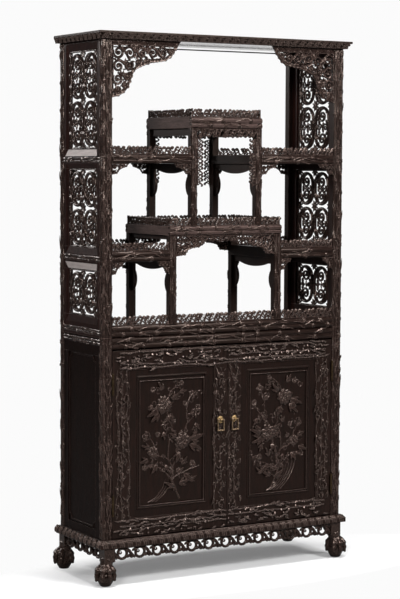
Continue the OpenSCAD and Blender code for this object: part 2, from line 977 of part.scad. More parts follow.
// Between a front and a back post on the left: a rail, cusped boards and a thin flap above
module divider(x, post_w, shelf_z, under_z, flap_top, flap_h) {
    board_x = -x - divider_t / 2;
    slab(-x - post_w / 2, -x + post_w / 2, -divider_y, divider_y, under_z, shelf_z);
    side_cut(board_x, divider_t) {
        translate([0, under_z - glue])
            cusp_head(divider_y, head_drop);
        translate([-divider_y, flap_top - flap_h])
            square([2 * divider_y, flap_h]);
    }
    front_and_back()
        side_cut(board_x, divider_t)
            translate([0, under_z - glue])
                cusp_side(divider_y, head_drop, cusp_h, cusp_out);
}

module high_dividers() {
    color("#3a2623")
        pair()
            divider(high_post_gap / 2, high_post_w, high_shelf_z, high_under_z, crown_under_z, high_flap_h);
}

module low_dividers() {
    color("#3a2623")
        pair()
            divider(low_post_gap / 2, low_post_w, low_shelf_z, low_under_z, mid_under_z, low_flap_h);
}

module mid_shelf() {
    color("#3b2723")
        difference() {
            ringed_board(low_out_x, mid_shelf_z);
            front_and_back()
                pair()
                    post_foot();
        }
}

module mid_rails() {
    color("#33211e")
        ringed_rails(low_out_x, mid_shelf_z, mid_rail_h);
}

module mid_gallery() {
    end = low_out_x - gallery_set;
    color("#2c1c1a") {
        front_and_back() {
            front_gallery(-high_in_x, high_in_x, mid_shelf_z, gallery_h);
            pair()
                front_gallery(-end, -high_out_x, mid_shelf_z, gallery_h);
        }
        pair()
            side_gallery(-end, mid_shelf_z);
    }
}

// The outline of the deep end of the middle apron, at the left
module apron_end(w, h) {
    difference() {
        union() {
            polygon([[0, 0], [0, -h], [0.3 * w, -0.9 * h], [0.42 * w, -0.62 * h],
                [0.62 * w, -0.58 * h], [0.9 * w, -0.46 * h], [0.98 * w, -0.38 * h], [w, 0]]);
            eyes(w, h, [[0.75, 0.42, 0.14], [0.28, 0.74, 0.18]]);
        }
        eyes(w, h, [[0.12, 0.22, 0.09], [0.32, 0.26, 0.11], [0.53, 0.22, 0.1], [0.72, 0.3, 0.09],
            [0.13, 0.5, 0.1], [0.33, 0.56, 0.08], [0.87, 0.16, 0.07], [0.52, 0.47, 0.07],
            [0.11, 0.8, 0.08], [0.28, 0.78, 0.07]]);
    }
}

module mid_aprons() {
    middle = low_in_x - mid_apron_end_w - glue;
    color("#2e1e1b")
        front_and_back() {
            translate([-middle, 0, mid_under_z])
                front_cut(front_y + reed_set, apron_t)
                    hanging_vine(2 * middle, mid_apron_h);
            pair()
                translate([-low_in_x, 0, mid_under_z])
                    front_cut(front_y + reed_set, apron_t)
                        apron_end(mid_apron_end_w, mid_apron_end_h);
        }
}

module low_inner_posts() {
    color("#33211e")
        front_and_back()
            pair()
                reeded_stick(-low_out_x, -low_in_x, front_y, inner_post_d, base_z, mid_under_z);
}

module base_board() {
    color("#3b2723")
        slab(-end_in_x, end_in_x, -inner_y, inner_y, base_z - shelf_t, base_z);
}

module base_rails() {
    color("#33211e")
        front_and_back()
            reed_rail(-inner_x, inner_x, front_y, post_d, joint_z, base_z);
}

module base_gallery() {
    color("#2c1c1a") {
        front_gallery(-low_in_x, low_in_x, base_z, base_gallery_h);
        pair()
            front_gallery(-inner_x, -low_out_x, base_z, base_gallery_h);
    }
}

// The recesses for the leaves of the left hinges, let into a face at x
module leaf_recesses(x) {
    for (z = hinge_levels)
        slab(x, x + leaf_t, front_y - knuckle_r, door_y + leaf_w, z, z + hinge_h);
}

module lower_posts() {
    color("#2e1e1b")
        pair() {
            difference() {
                reeded_post(plinth_top, joint_z);
                leaf_recesses(-inner_x - leaf_t);
            }
            slab(-end_out_x, -inner_x, inner_y, back_y - reed_set, plinth_top, joint_z);
        }
}

module head_rail() {
    color("#2e1e1b")
        reed_rail(-inner_x, inner_x, front_y, head_rail_t, joint_z - head_rail_h, joint_z);
}

// The strip behind the doors, under the board that closes the cupboard
module door_stop() {
    stop_y = door_y + door_t + 1;
    color("#3b2723")
        slab(-inner_x, inner_x, stop_y, stop_y + board_t, door_z1 - 12, joint_z - board_t);
}

module cupboard_top() {
    color("#3b2723")
        union() {
            slab(-inner_x, inner_x, front_y + head_rail_t, back_y - reed_set - back_t,
                joint_z - board_t, joint_z);
            slab(-end_in_x, end_in_x, -inner_y, inner_y, joint_z - board_t, joint_z);
        }
}

// A panel on the left end with its tongue, or its groove when play is 0
module end_panel_body(play) {
    mid_x = -end_out_x + end_t / 2;
    grow = groove_d - play;
    half_t = groove_w / 2 - play;
    union() {
        slab(mid_x - half_t, mid_x + half_t, -fret_half - grow, fret_half + grow,
            end_open_z[0] - grow, end_open_z[1] + grow);
        slab(mid_x - end_panel_t / 2, mid_x + end_panel_t / 2, -fret_half + play, fret_half - play,
            end_open_z[0] + play, end_open_z[1] - play);
    }
}

module cupboard_ends() {
    color("#3a2522")
        pair()
            difference() {
                union() {
                    end_rail(end_open_z[1], joint_z, cupboard_reed_z);
                    front_and_back()
                        slab(-end_out_x, -end_in_x, -inner_y, -fret_half,
                            plinth_top, end_open_z[1] - glue);
                    slab(-end_out_x, -end_in_x, -fret_half + glue, fret_half - glue,
                        plinth_top, end_open_z[0]);
                }
                end_panel_body(0);
            }
}

// A rectangle whose corners are cut back by quarter rounds, and the bead along it
module notched(w, h, corner_r, edge) {
    difference() {
        square([w - 2 * edge, h - 2 * edge], center = true);
        for (i = [-1, 1])
            for (k = [-1, 1])
                translate([i * w / 2, k * h / 2])
                    circle(corner_r + edge);
    }
}

module cupboard_end_panels() {
    bead = 5;
    margin = 4;
    corner_r = 20;
    w = 2 * (fret_half - margin);
    h = end_open_z[1] - end_open_z[0] - 2 * margin;
    mid_x = -end_out_x + end_t / 2;
    color("#2f1f1c")
        pair()
            union() {
                end_panel_body(panel_play);
                translate([0, 0, (end_open_z[0] + end_open_z[1]) / 2])
                    side_cut(mid_x - end_panel_t / 2 - bead * 0.6, bead)
                        difference() {
                            notched(w, h, corner_r, 0);
                            notched(w, h, corner_r, bead);
                        }
            }
}

module cupboard_back() {
    color("#2f1f1c")
        slab(-inner_x, inner_x, back_y - reed_set - back_t, back_y - reed_set, plinth_top, joint_z);
}

module cupboard_floor() {
    x = half_w - plinth_in;
    color("#3b2723")
        slab(-x, x, front_y + plinth_in, back_y - plinth_in, plinth_top - board_t, plinth_top);
}

// Top of the loose shelf in the cupboard and its play between the ends
inner_shelf_z = plinth_top + inner_shelf_up;
shelf_play = 0.5;

module cupboard_shelf() {
    back = back_y - reed_set - back_t - shelf_play;
    color("#3b2723")
        union() {
            slab(-inner_x + shelf_play, inner_x - shelf_play, back - inner_shelf_d, back,
                inner_shelf_z - board_t, inner_shelf_z);
            slab(-end_in_x + shelf_play, end_in_x - shelf_play, back - inner_shelf_d,
                inner_y - shelf_play, inner_shelf_z - board_t, inner_shelf_z);
        }
}

module shelf_bearers() {
    color("#3b2723")
        pair()
            slab(-end_in_x, -end_in_x + bearer_s, -inner_y, inner_y,
                inner_shelf_z - board_t - bearer_s, inner_shelf_z - board_t);
}

// The outline of the plinth moulding: a square lip, a hollow and a fillet
module plinth_outline() {
    out = plinth_out;
    h = plinth_h;
    translate([-plinth_in, plinth_z])
        difference() {
            square([plinth_in + out, h]);
            translate([plinth_in + out * 1.05, h * 1.1])
                circle(out * 0.7);
        }
}

module plinth() {
    color("#33221f") {
        mitred_front(plinth_out, plinth_in)
            plinth_outline();
        pair()
            mitred_side(plinth_out, plinth_in)
                plinth_outline();
        slab(-half_w + plinth_in + glue, half_w - plinth_in - glue, back_y - plinth_in, back_y,
            plinth_z, plinth_top);
    }
}

// The outline of the pierced apron: running scrolls with round eyes, hanging from its top
module skirt_outline(len) {
    h = skirt_h;
    n = max(1, round(len / skirt_pitch));
    p = len / n;
    difference() {
        union() {
            translate([0, -h * 0.5])
                square([len, h * 0.5]);
            for (i = [0 : n - 1])
                translate([(i + 0.5) * p, -h * 0.56])
                    circle(h * 0.44);
            for (i = [0 : n])
                translate([min(max(i * p, h * 0.2), len - h * 0.2), -h * 0.52])
                    circle(h * 0.2);
        }
        for (i = [0 : n - 1]) {
            translate([(i + 0.5) * p, -h * 0.53])
                circle(h * 0.29);
            for (s = [-1, 1])
                translate([(i + 0.5) * p + s * h * 0.44, -h * 0.28])
                    circle(h * 0.08);
        }
    }
}

// Inner faces of the legs
leg_in_x = leg_x - leg_s / 2;
leg_in_y = leg_y - leg_s / 2;

module skirts() {
    skirt_y = -leg_y - leg_s / 2 + skirt_set;
    skirt_x = -leg_x - leg_s / 2 + skirt_set;
    color("#2c1c1a") {
        translate([-leg_in_x, 0, plinth_z])
            front_cut(skirt_y, skirt_t)
                skirt_outline(2 * leg_in_x);
        pair()
            translate([0, -leg_in_y, plinth_z])
                side_cut(skirt_x, skirt_t)
                    skirt_outline(2 * leg_in_y);
    }
}

// A toe that grips the ball in the direction +X: three joints, the bones between, and a claw
module toe() {
    bend = [62, 26, -14];
    swell = [1, 1.12, 0.9];
    for (i = [0 : 2])
        translate([ball_r * cos(bend[i]), 0, ball_r * sin(bend[i])])
            sphere(toe_r * swell[i]);
    for (i = [0 : 1])
        translate([ball_r * cos(bend[i]), 0, ball_r * sin(bend[i])])
            rotate([0, 90 + (90 - (bend[i] + bend[i + 1]) / 2), 0])
                cylinder(r = toe_r * 0.82, h = 2 * ball_r * sin((bend[i] - bend[i + 1]) / 2));
    translate([ball_r * cos(bend[2]), 0, ball_r * sin(bend[2])])
        rotate([0, 90 + claw_drop, 0])
            cylinder(r1 = toe_r * 0.75, r2 = 1, h = (claw_reach - ball_r * cos(bend[2])) / cos(claw_drop));
}

// A square leg on a paw that grips a ball further out, one piece with its foot cut flat
module claw_foot() {
    ball_z = ball_r - sole_cut;
    ankle_z = ball_z + ball_r * 0.75;
    room = claw_reach + ball_out_x + ball_out_y;
    intersection() {
        union() {
            translate([-ball_out_x, -ball_out_y, ball_z]) {
                sphere(ball_r);
                for (a = [180, 225, 270, 45])
                    rotate([0, 0, a])
                        toe();
            }
            translate([-ball_out_x / 2, -ball_out_y / 2, ankle_z - ankle_bite])
                cylinder(r1 = ball_r * 0.82, r2 = leg_s * 0.52, h = foot_h + 2 * ankle_bite - ankle_z);
            translate([-leg_s / 2, -leg_s / 2, foot_h - ankle_bite])
                cube([leg_s, leg_s, plinth_z - foot_h + ankle_bite]);
        }
        translate([-room, -room, 0])
            cube([2 * room, 2 * room, plinth_z]);
    }
}

module claw_feet() {
    color("#33221f")
        front_and_back()
            pair()
                translate([-leg_x, -leg_y, 0])
                    claw_foot();
}

// The knuckles of a hinge at a level: the door's is the middle one, the case's the others
module knuckles(z, door) {
    third = hinge_h / 3;
    if (door)
        translate([hinge_x, hinge_y, z + third + knuckle_gap / 2])
            cylinder(r = knuckle_r, h = third - knuckle_gap);
    if (!door)
        for (k = [0, 2])
            translate([hinge_x, hinge_y, z + k * third + (k > 0 ? knuckle_gap / 2 : 0)])
                cylinder(r = knuckle_r, h = third - knuckle_gap / 2);
}

// The wing of a left hinge, from its leaf to its knuckles
module hinge_wing(x, z, door) {
    third = hinge_h / 3;
    slab(x, x + leaf_t, door_y + 0.2, door_y + leaf_w, z, z + hinge_h);
    if (door)
        slab(x, x + leaf_t, hinge_y, door_y + 1,
            z + third + knuckle_gap / 2, z + 2 * third - knuckle_gap / 2);
    if (!door)
        for (k = [0, 2])
            slab(x, x + leaf_t, hinge_y, door_y + 1, z + k * third + (k > 0 ? knuckle_gap / 2 : 0),
                z + (k + 1) * third - (k > 0 ? 0 : knuckle_gap / 2));
}

// The left half of a hinge with its bore, as seen at the left side
module left_leaf(x, z, door) {
    difference() {
        union() {
            knuckles(z, door);
            hinge_wing(x, z, door);
        }
        translate([hinge_x, hinge_y, z - 1])
            cylinder(r = hinge_pin_r + pin_play, h = hinge_h + 2);
    }
}

// A hinge pin with a round head at each end
module left_pin(z) {
    head_h = 2.4;
    translate([hinge_x, hinge_y, z - 0.2]) {
        cylinder(r = hinge_pin_r, h = hinge_h + 0.4);
        for (h = [-head_h, hinge_h + 0.4])
            translate([0, 0, h])
                cylinder(r = knuckle_r * 0.8, h = head_h);
    }
}

module case_hinges() {
    color("#b08d4f")
        pair()
            for (z = hinge_levels) {
                left_leaf(-inner_x - leaf_t, z, false);
                left_pin(z);
            }
}

module left_door_hinges() {
    color("#b08d4f")
        for (z = hinge_levels)
            left_leaf(left_door_x[0], z, true);
}

module right_door_hinges() {
    mirror([1, 0, 0])
        left_door_hinges();
}

// The panel of a door with its tongue, or its groove when play is 0
module door_tongue(x0, x1, play) {
    grow = groove_d - play;
    mid_y = door_y + door_t / 2;
    half_t = groove_w / 2 - play;
    slab(x0 - grow, x1 + grow, mid_y - half_t, mid_y + half_t,
        door_z0 + door_bottom_h - grow, door_z1 - door_top_h + grow);
}

// The frame of a door: two stiles with two rails between them, grooved for the panel
module door_frame(x, left_w, right_w) {
    back = door_y + door_t;
    in0 = x[0] + left_w;
    in1 = x[1] - right_w;
    difference() {
        union() {
            slab(x[0], in0, door_y, back, door_z0, door_z1);
            slab(in1, x[1], door_y, back, door_z0, door_z1);
            slab(in0 + glue, in1 - glue, door_y, back, door_z0, door_z0 + door_bottom_h);
            slab(in0 + glue, in1 - glue, door_y, back, door_z1 - door_top_h, door_z1);
        }
        door_tongue(in0, in1, 0);
    }
}

// A panel with a plain border, a raised bead and a field that lies lower
module door_panel(x0, x1) {
    z0 = door_z0 + door_bottom_h;
    z1 = door_z1 - door_top_h;
    face_y = door_y + 4;
    back = door_y + door_t - 4;
    sink = 3;
    b0 = x0 + border_w;
    b1 = x1 - border_w;
    c0 = z0 + border_w;
    c1 = z1 - border_w * 0.8;
    r = bead_w / 2;
    difference() {
        union() {
            slab(x0 + panel_play, x1 - panel_play, face_y, back, z0 + panel_play, z1 - panel_play);
            door_tongue(x0, x1, panel_play);
            for (z = [c0, c1])
                translate([b0, face_y, z])
                    rotate([0, 90, 0])
                        cylinder(r = r, h = b1 - b0);
            for (x = [b0, b1]) {
                translate([x, face_y, c0])
                    cylinder(r = r, h = c1 - c0);
                for (z = [c0, c1])
                    translate([x, face_y, z])
                        sphere(r);
            }
        }
        slab(b0 + r * 0.7, b1 - r * 0.7, face_y - 2 * r, face_y + sink, c0 + r * 0.7, c1 - r * 0.7);
    }
}

module left_door_frame() {
    color("#33211e")
        difference() {
            door_frame(left_door_x, hinge_stile_w, lock_stile_w);
            leaf_recesses(left_door_x[0]);
        }
}

module right_door_frame() {
    color("#33211e")
        difference() {
            door_frame(right_door_x, lock_stile_w, hinge_stile_w);
            mirror([1, 0, 0])
                leaf_recesses(left_door_x[0]);
        }
}

module left_door_panel() {
    color("#2a1b18")
        door_panel(left_door_x[0] + hinge_stile_w, left_door_x[1] - lock_stile_w);
}

module right_door_panel() {
    color("#2a1b18")
        door_panel(right_door_x[0] + lock_stile_w, right_door_x[1] - hinge_stile_w);
}

// The round plate of a pull with the bored eye that carries the drop
module pull_plate(x) {
    eye_len = 8;
    difference() {
        union() {
            translate([x, door_y, pull_z])
                rotate([90, 0, 0])
                    cylinder(r = plate_r, h = plate_t);
            translate([x - eye_len / 2, pull_y, pull_z])
                rotate([0, 90, 0])
                    cylinder(r = eye_r, h = eye_len);
            slab(x - eye_len / 2, x + eye_len / 2, pull_y, door_y - plate_t / 2,
                pull_z - eye_r * 0.6, pull_z + eye_r * 0.6);
        }
        translate([x - eye_len, pull_y, pull_z])
            rotate([0, 90, 0])
                cylinder(r = pull_r + pin_play, h = 2 * eye_len);
    }
}

// A drop pull: a square loop whose top bar turns in the eye
module drop_pull(x) {
    half = pull_w / 2 - pull_r;
    low = pull_h - 2 * pull_r;
    union() {
        for (z = [pull_z, pull_z - low])
            translate([x - half, pull_y, z])
                rotate([0, 90, 0])
                    cylinder(r = pull_r, h = 2 * half);
        for (s = [-1, 1]) {
            translate([x + s * half, pull_y, pull_z - low])
                cylinder(r = pull_r, h = low);
            for (z = [pull_z, pull_z - low])
                translate([x + s * half, pull_y, z])
                    sphere(pull_r);
        }
    }
}

left_pull_x = left_door_x[1] - pull_inset;
right_pull_x = right_door_x[0] + pull_inset;

module left_pull_plate() {
    color("#b08d4f")
        pull_plate(left_pull_x);
}

module right_pull_plate() {
    color("#b08d4f")
        pull_plate(right_pull_x);
}

module left_pull() {
    color("#b9975a")
        drop_pull(left_pull_x);
}

module right_pull() {
    color("#b9975a")
        drop_pull(right_pull_x);
}

top_board();
cornice();
top_rails();
left_spandrel();
right_spandrel();
upper_front_posts();
upper_back_posts();
left_end_frame();
right_end_frame();
left_high_fret();
left_mid_fret();
left_low_fret();
right_high_fret();
right_mid_fret();
right_low_fret();
crown_shelf();
crown_rails();
crown_gallery();
crown_arch();
high_inner_posts();
high_side_shelves();
high_side_rails();
high_dividers();
mid_shelf();
mid_rails();
mid_gallery();
mid_aprons();
low_inner_posts();
low_side_shelves();
low_side_rails();
low_dividers();
side_galleries();
side_brackets();
base_board();
base_rails();
base_gallery();
lower_posts();
head_rail();
door_stop();
cupboard_top();
cupboard_ends();
cupboard_end_panels();
cupboard_back();
cupboard_floor();
cupboard_shelf();
shelf_bearers();
plinth();
skirts();
claw_feet();
case_hinges();
left_door_frame();
left_door_panel();
left_door_hinges();
left_pull_plate();
left_pull();
right_door_frame();
right_door_panel();
right_door_hinges();
right_pull_plate();
right_pull();
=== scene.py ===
# %% [markdown]
# # A carved display cabinet over a cupboard
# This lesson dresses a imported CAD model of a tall, nearly black hardwood cabinet. The CAD gives every board,
# rail, door and hinge its true size and place. Blender adds what a carver and a polisher add: stems, curls,
# leaves and blossoms, knotted bamboo reeds, wax, worn edges and dull brass.

# %% Loading the frame
import math
import random
import bmesh
import bpy
from mathutils import Matrix, Vector


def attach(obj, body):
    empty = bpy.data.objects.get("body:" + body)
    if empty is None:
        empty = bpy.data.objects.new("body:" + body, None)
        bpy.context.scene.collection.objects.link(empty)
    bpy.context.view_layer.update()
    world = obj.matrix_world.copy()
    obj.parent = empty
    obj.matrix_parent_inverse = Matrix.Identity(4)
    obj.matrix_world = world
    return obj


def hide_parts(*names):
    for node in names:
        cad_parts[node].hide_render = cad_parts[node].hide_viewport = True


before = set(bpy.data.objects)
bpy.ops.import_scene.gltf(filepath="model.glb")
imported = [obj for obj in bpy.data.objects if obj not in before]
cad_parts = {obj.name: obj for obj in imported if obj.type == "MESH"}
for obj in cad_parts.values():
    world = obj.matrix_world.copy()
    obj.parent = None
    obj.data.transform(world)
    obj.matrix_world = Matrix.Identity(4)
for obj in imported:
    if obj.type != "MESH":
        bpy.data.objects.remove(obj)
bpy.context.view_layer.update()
chance = random.Random(7)

# %% [markdown]
# ## Where things are
# All lengths are metres, with the front towards -Y. The carving follows the faces of the CAD boards, so the
# few levels that it needs are written here once and named as a joiner would name them. An x or y is measured
# from the middle of the cabinet, a z from the floor, and "under" is the lower edge of a shelf's rail.

# %% Levels and faces
half_width, half_depth = 0.5325, 0.1775
inner_x, inner_y = 0.4925, 0.1475
arch_x, crown_x, bay_x, mid_x = 0.131, 0.157, 0.219, 0.249
plinth_z, joint_z, base_z, low_z, mid_z, high_z, crown_z = 0.172, 0.926, 0.968, 1.245, 1.335, 1.603, 1.745
low_under, mid_under, high_under, crown_under = 1.205, 1.300, 1.570, 1.703
post_top, top_z = 2.028, 2.05
pierced_face = 0.1695
ends = ("left", "right")
print("height", top_z, "width", 2 * half_width, "depth", 2 * half_depth)


# %% Meshes and objects
def keep_mesh(name, bm):
    """Turn a finished bmesh into a mesh."""
    mesh = bpy.data.meshes.new(name)
    bm.to_mesh(mesh)
    bm.free()
    return mesh


def put_in_scene(name, data):
    """Make an object for a mesh, a lens or a lamp."""
    made = bpy.data.objects.new(name, data)
    bpy.context.scene.collection.objects.link(made)
    return made


# %% [markdown]
# ## The camera
# The camera stands where the photographer's did: to the left of the front, at eye height, with a long lens. Its
# place was fitted to the straight edges of posts and shelves, so it is written as a point and three turns.

# %% Camera
eye, turned_left, tipped_down, rolled = (-3.5809, -6.0232, 1.5583), 30.637, 4.224, 0.259
lens = bpy.data.cameras.new("camera")
lens.lens, lens.sensor_width, lens.sensor_fit = 108.06, 36, "AUTO"
camera = put_in_scene("camera", lens)
camera.matrix_world = (Matrix.Translation(eye)
                       @ Matrix.Rotation(math.radians(-turned_left), 4, "Z")
                       @ Matrix.Rotation(math.radians(90 - tipped_down), 4, "X")
                       @ Matrix.Rotation(math.radians(rolled), 4, "Z"))
bpy.context.scene.camera = camera
print("camera at", [round(v, 2) for v in camera.location])

# %% [markdown]
# ## The lamps
# Four square soft lamps light the wood at a plain level: two from the front, one from behind for the rims, and a
# large one high above. Dark waxed wood shows its shape mainly by what it mirrors, so the front lamps are small
# enough to leave bright points on the carving.

# %% Lamps
def softbox(name, place, aim_height, size, power):
    """A square soft lamp that looks at a point on the cabinet's middle line."""
    light = bpy.data.lights.new(name, "AREA")
    light.shape, light.size, light.size_y, light.energy = "RECTANGLE", size, size, power
    lamp = put_in_scene(name, light)
    lamp.location = place
    lamp.rotation_euler = (Vector((0, 0, aim_height)) - Vector(place)).to_track_quat("-Z", "Y").to_euler()


softbox("key", (-4.0, -3.6, 3.6), 1.1, 1.0, 175)
softbox("front", (1.8, -4.4, 3.7), 1.0, 1.1, 200)
softbox("rim", (-3.2, 6.2, 3.6), 1.3, 1.2, 120)
softbox("overhead", (0, -0.7, 9), 0, 2.4, 780)
bpy.context.scene.view_settings.view_transform = "Standard"
print("lamps: 4")

# %% [markdown]
# ## White surroundings
# The photograph has a white backdrop. A bright world would wash out the dark wood, so the world is dim for the
# light that falls on it, and white only where the camera sees it or where a polished board mirrors the backdrop
# that stands behind the cabinet. Light Path tells these rays apart, and Incoming, which points back along a ray,
# tells which side of the room a mirrored ray comes from.

# %% Small helpers for node trees
def link(tree, source, target):
    """Join two sockets of a node tree."""
    tree.links.new(source, target)


def node(tree, kind, **values):
    """A node with its properties set."""
    made = tree.nodes.new(kind)
    for key, value in values.items():
        setattr(made, key, value)
    return made


def curve(tree, value, low, high, to_low=0.0, to_high=1.0):
    """A value spread from one range to another and held inside it."""
    spread = node(tree, "ShaderNodeMapRange")
    for socket, number in zip(("From Min", "From Max", "To Min", "To Max"), (low, high, to_low, to_high)):
        spread.inputs[socket].default_value = number
    link(tree, value, spread.inputs["Value"])
    return spread.outputs["Result"]


def maths(tree, operation, first, second):
    """One sum with two sockets."""
    made = node(tree, "ShaderNodeMath", operation=operation)
    link(tree, first, made.inputs[0])
    link(tree, second, made.inputs[1])
    return made.outputs[0]


# %% The world
backdrop_white, dim_grey = (0.965, 0.965, 0.965, 1), (0.13, 0.13, 0.135, 1)
back_from_backdrop = (-0.51, -0.86, 0)
world = bpy.data.worlds.new("studio")
bpy.context.scene.world = world
world.use_nodes = True
tree = world.node_tree
tree.nodes.clear()
path, ray = node(tree, "ShaderNodeLightPath"), node(tree, "ShaderNodeNewGeometry")
toward = node(tree, "ShaderNodeVectorMath", operation="DOT_PRODUCT")
toward.inputs[1].default_value = back_from_backdrop
link(tree, ray.outputs["Incoming"], toward.inputs[0])
mirrored = maths(tree, "MULTIPLY", curve(tree, toward.outputs["Value"], 0.84, 0.94), path.outputs["Is Glossy Ray"])
seen = maths(tree, "MAXIMUM", maths(tree, "MAXIMUM", path.outputs["Is Camera Ray"], mirrored),
             path.outputs["Is Transmission Ray"])
dim, white = node(tree, "ShaderNodeBackground"), node(tree, "ShaderNodeBackground")
dim.inputs["Color"].default_value, white.inputs["Color"].default_value = dim_grey, backdrop_white
link(tree, curve(tree, path.outputs["Is Glossy Ray"], 0, 1, 1, 0.5), dim.inputs["Strength"])
pick, sky_out = node(tree, "ShaderNodeMixShader"), node(tree, "ShaderNodeOutputWorld")
for source, target in ((seen, pick.inputs["Fac"]), (dim.outputs[0], pick.inputs[1]),
                       (white.outputs[0], pick.inputs[2]), (pick.outputs[0], sky_out.inputs["Surface"])):
    link(tree, source, target)
print("world ready")

# %% [markdown]
# ## The floor
# A studio floor is one large pale sheet. Near the feet it is a diffuse paper that keeps the cabinet's soft
# shadow, and further out it fades into the white of the backdrop, so that no horizon shows. A squeezed distance
# from the middle makes the paper's oval, long from side to side.

# %% Floor
bm = bmesh.new()
bmesh.ops.create_grid(bm, x_segments=1, y_segments=1, size=14)
mesh = keep_mesh("floor", bm)
floor = put_in_scene("floor", mesh)
paper = bpy.data.materials.new("floor_paper")
paper.use_nodes = True
tree = paper.node_tree
tree.nodes.clear()
path, spot = node(tree, "ShaderNodeLightPath"), node(tree, "ShaderNodeTexCoord")
reach = node(tree, "ShaderNodeVectorMath", operation="LENGTH")
squeezed = node(tree, "ShaderNodeMapping")
squeezed.inputs["Location"].default_value, squeezed.inputs["Scale"].default_value = (0, 0.24, 0), (0.9, 2.4, 1)
link(tree, spot.outputs["Object"], squeezed.inputs["Vector"])
link(tree, squeezed.outputs["Vector"], reach.inputs[0])
far = maths(tree, "MULTIPLY", curve(tree, reach.outputs["Value"], 0.6, 1.0), path.outputs["Is Camera Ray"])
sheet, glow, white = (node(tree, "ShaderNodeBsdfDiffuse"), node(tree, "ShaderNodeEmission"),
                      node(tree, "ShaderNodeEmission"))
link(tree, curve(tree, path.outputs["Is Camera Ray"], 0, 1, 0.2, 0.8), sheet.inputs["Color"])
link(tree, curve(tree, path.outputs["Is Camera Ray"], 0, 1, 0, 0.11), glow.inputs["Strength"])
white.inputs["Color"].default_value = backdrop_white
near, pick, out = (node(tree, "ShaderNodeAddShader"), node(tree, "ShaderNodeMixShader"),
                   node(tree, "ShaderNodeOutputMaterial"))
for source, target in ((sheet.outputs[0], near.inputs[0]), (glow.outputs[0], near.inputs[1]), (far, pick.inputs[0]),
                       (near.outputs[0], pick.inputs[1]), (white.outputs[0], pick.inputs[2]),
                       (pick.outputs[0], out.inputs["Surface"])):
    link(tree, source, target)
mesh.materials.append(paper)
print("floor laid")

# %% [markdown]
# ## Stems
# Stems, curls and reeds are all round bars that follow a path. A hand modeller would extrude one ring again and
# again, turning and resizing it. The helper does the same: it starts from a circle with a cap, extrudes the cap
# along the path and leaves a closed bar. Each bar grows in a small bmesh of its own, which keeps this quick.

# %% A bar along a path
scratch = bpy.data.meshes.new("scratch")


def add(piece, part):
    """Move a small bmesh into the bmesh of its piece."""
    part.to_mesh(scratch)
    part.free()
    piece.from_mesh(scratch)


def stem(piece, path, thick, sides=6):
    """A closed round bar through the points of a path; thick is a radius, or one for each point."""
    points = [Vector(p).to_3d() for p in path]
    radii = list(thick) if isinstance(thick, (list, tuple)) else [thick] * len(points)
    heading = (points[1] - points[0]).normalized()
    turn = Vector((0, 0, 1)).rotation_difference(heading).to_matrix().to_4x4()
    part = bmesh.new()
    bmesh.ops.create_circle(part, cap_ends=True, segments=sides, radius=radii[0],
                            matrix=Matrix.Translation(points[0]) @ turn)
    part.faces.ensure_lookup_table()
    foot = end = part.faces[0]
    for i in range(1, len(points)):
        ahead = (points[min(i + 1, len(points) - 1)] - points[i - 1]).normalized()
        if i == 1:
            grown = bmesh.ops.extrude_face_region(part, geom=[foot], use_keep_orig=True)["geom"]
            end = next(e for e in grown if isinstance(e, bmesh.types.BMFace))
        else:
            end = bmesh.ops.extrude_discrete_faces(part, faces=[end])["faces"][0]
        turn = heading.rotation_difference(ahead).to_matrix().to_4x4()
        bmesh.ops.transform(part, verts=end.verts, matrix=Matrix.Translation(points[i]) @ turn
                            @ Matrix.Scale(radii[i] / radii[i - 1], 4) @ Matrix.Translation(-points[i - 1]))
        heading = ahead
    bmesh.ops.reverse_faces(part, faces=[foot])
    add(piece, part)


# %% Paths and thicknesses
def taper(first, last, count):
    """Radii that go evenly from the first to the last."""
    return [first + (last - first) * i / (count - 1) for i in range(count)]


def curl(middle, start, outer, inner, turns, count=13):
    """The points of a flat spiral about a middle, from its outer to its inner radius."""
    points = []
    for i in range(count):
        share = i / (count - 1)
        radius = outer + (inner - outer) * share ** 0.85
        angle = start + math.tau * turns * share
        points.append((middle[0] + radius * math.cos(angle), middle[1] + radius * math.sin(angle), 0))
    return points


def spine(points, count):
    """Points spread evenly over a line of a few given ones."""
    spread = []
    for i in range(count):
        place = i / (count - 1) * (len(points) - 1)
        j = min(int(place), len(points) - 2)
        spread.append(tuple(a + (b - a) * (place - j) for a, b in zip(points[j], points[j + 1])))
    return spread


def raised(path, lift):
    """The same path, drawn at a height over the ground of the carving."""
    return [(u, v, lift) for u, v, *_ in path]


test = bmesh.new()
stem(test, curl((0, 0), 0, 0.01, 0.002, 1.3), taper(0.002, 0.001, 13))
print("a curl has", len(test.faces), "faces")
test.free()

# %% [markdown]
# ## Leaves, petals and buds
# A carved leaf is a small pointed swelling with a hollow down its middle. It is made once, from a sphere whose
# points are moved, and then stamped wherever the carving needs it. A shape that is stamped hundreds of times
# has to stay small, so a leaf has 48 faces and a bud 20.

# %% Shapes to stamp
def leaf_shape(name, widest, droop):
    """A leaf one unit long, from 0 to its tip at 1; widest is where it is broadest."""
    bm = bmesh.new()
    bmesh.ops.create_uvsphere(bm, u_segments=8, v_segments=6, radius=0.5,
                              matrix=Matrix.Translation((0.5, 0, 0)) @ Matrix.Rotation(math.pi / 2, 4, "Y"))
    for v in bm.verts:
        share = v.co.x
        v.co.y *= 1.15 * (1 - share) ** 0.35 if share > widest else 0.75 + 0.4 * share / widest
        groove = 0.16 * math.sin(math.pi * share) if abs(v.co.y) < 0.05 and v.co.z > 0 else 0
        v.co.z = v.co.z * 0.7 - groove + droop * math.sin(math.pi * share)
    return keep_mesh(name, bm)


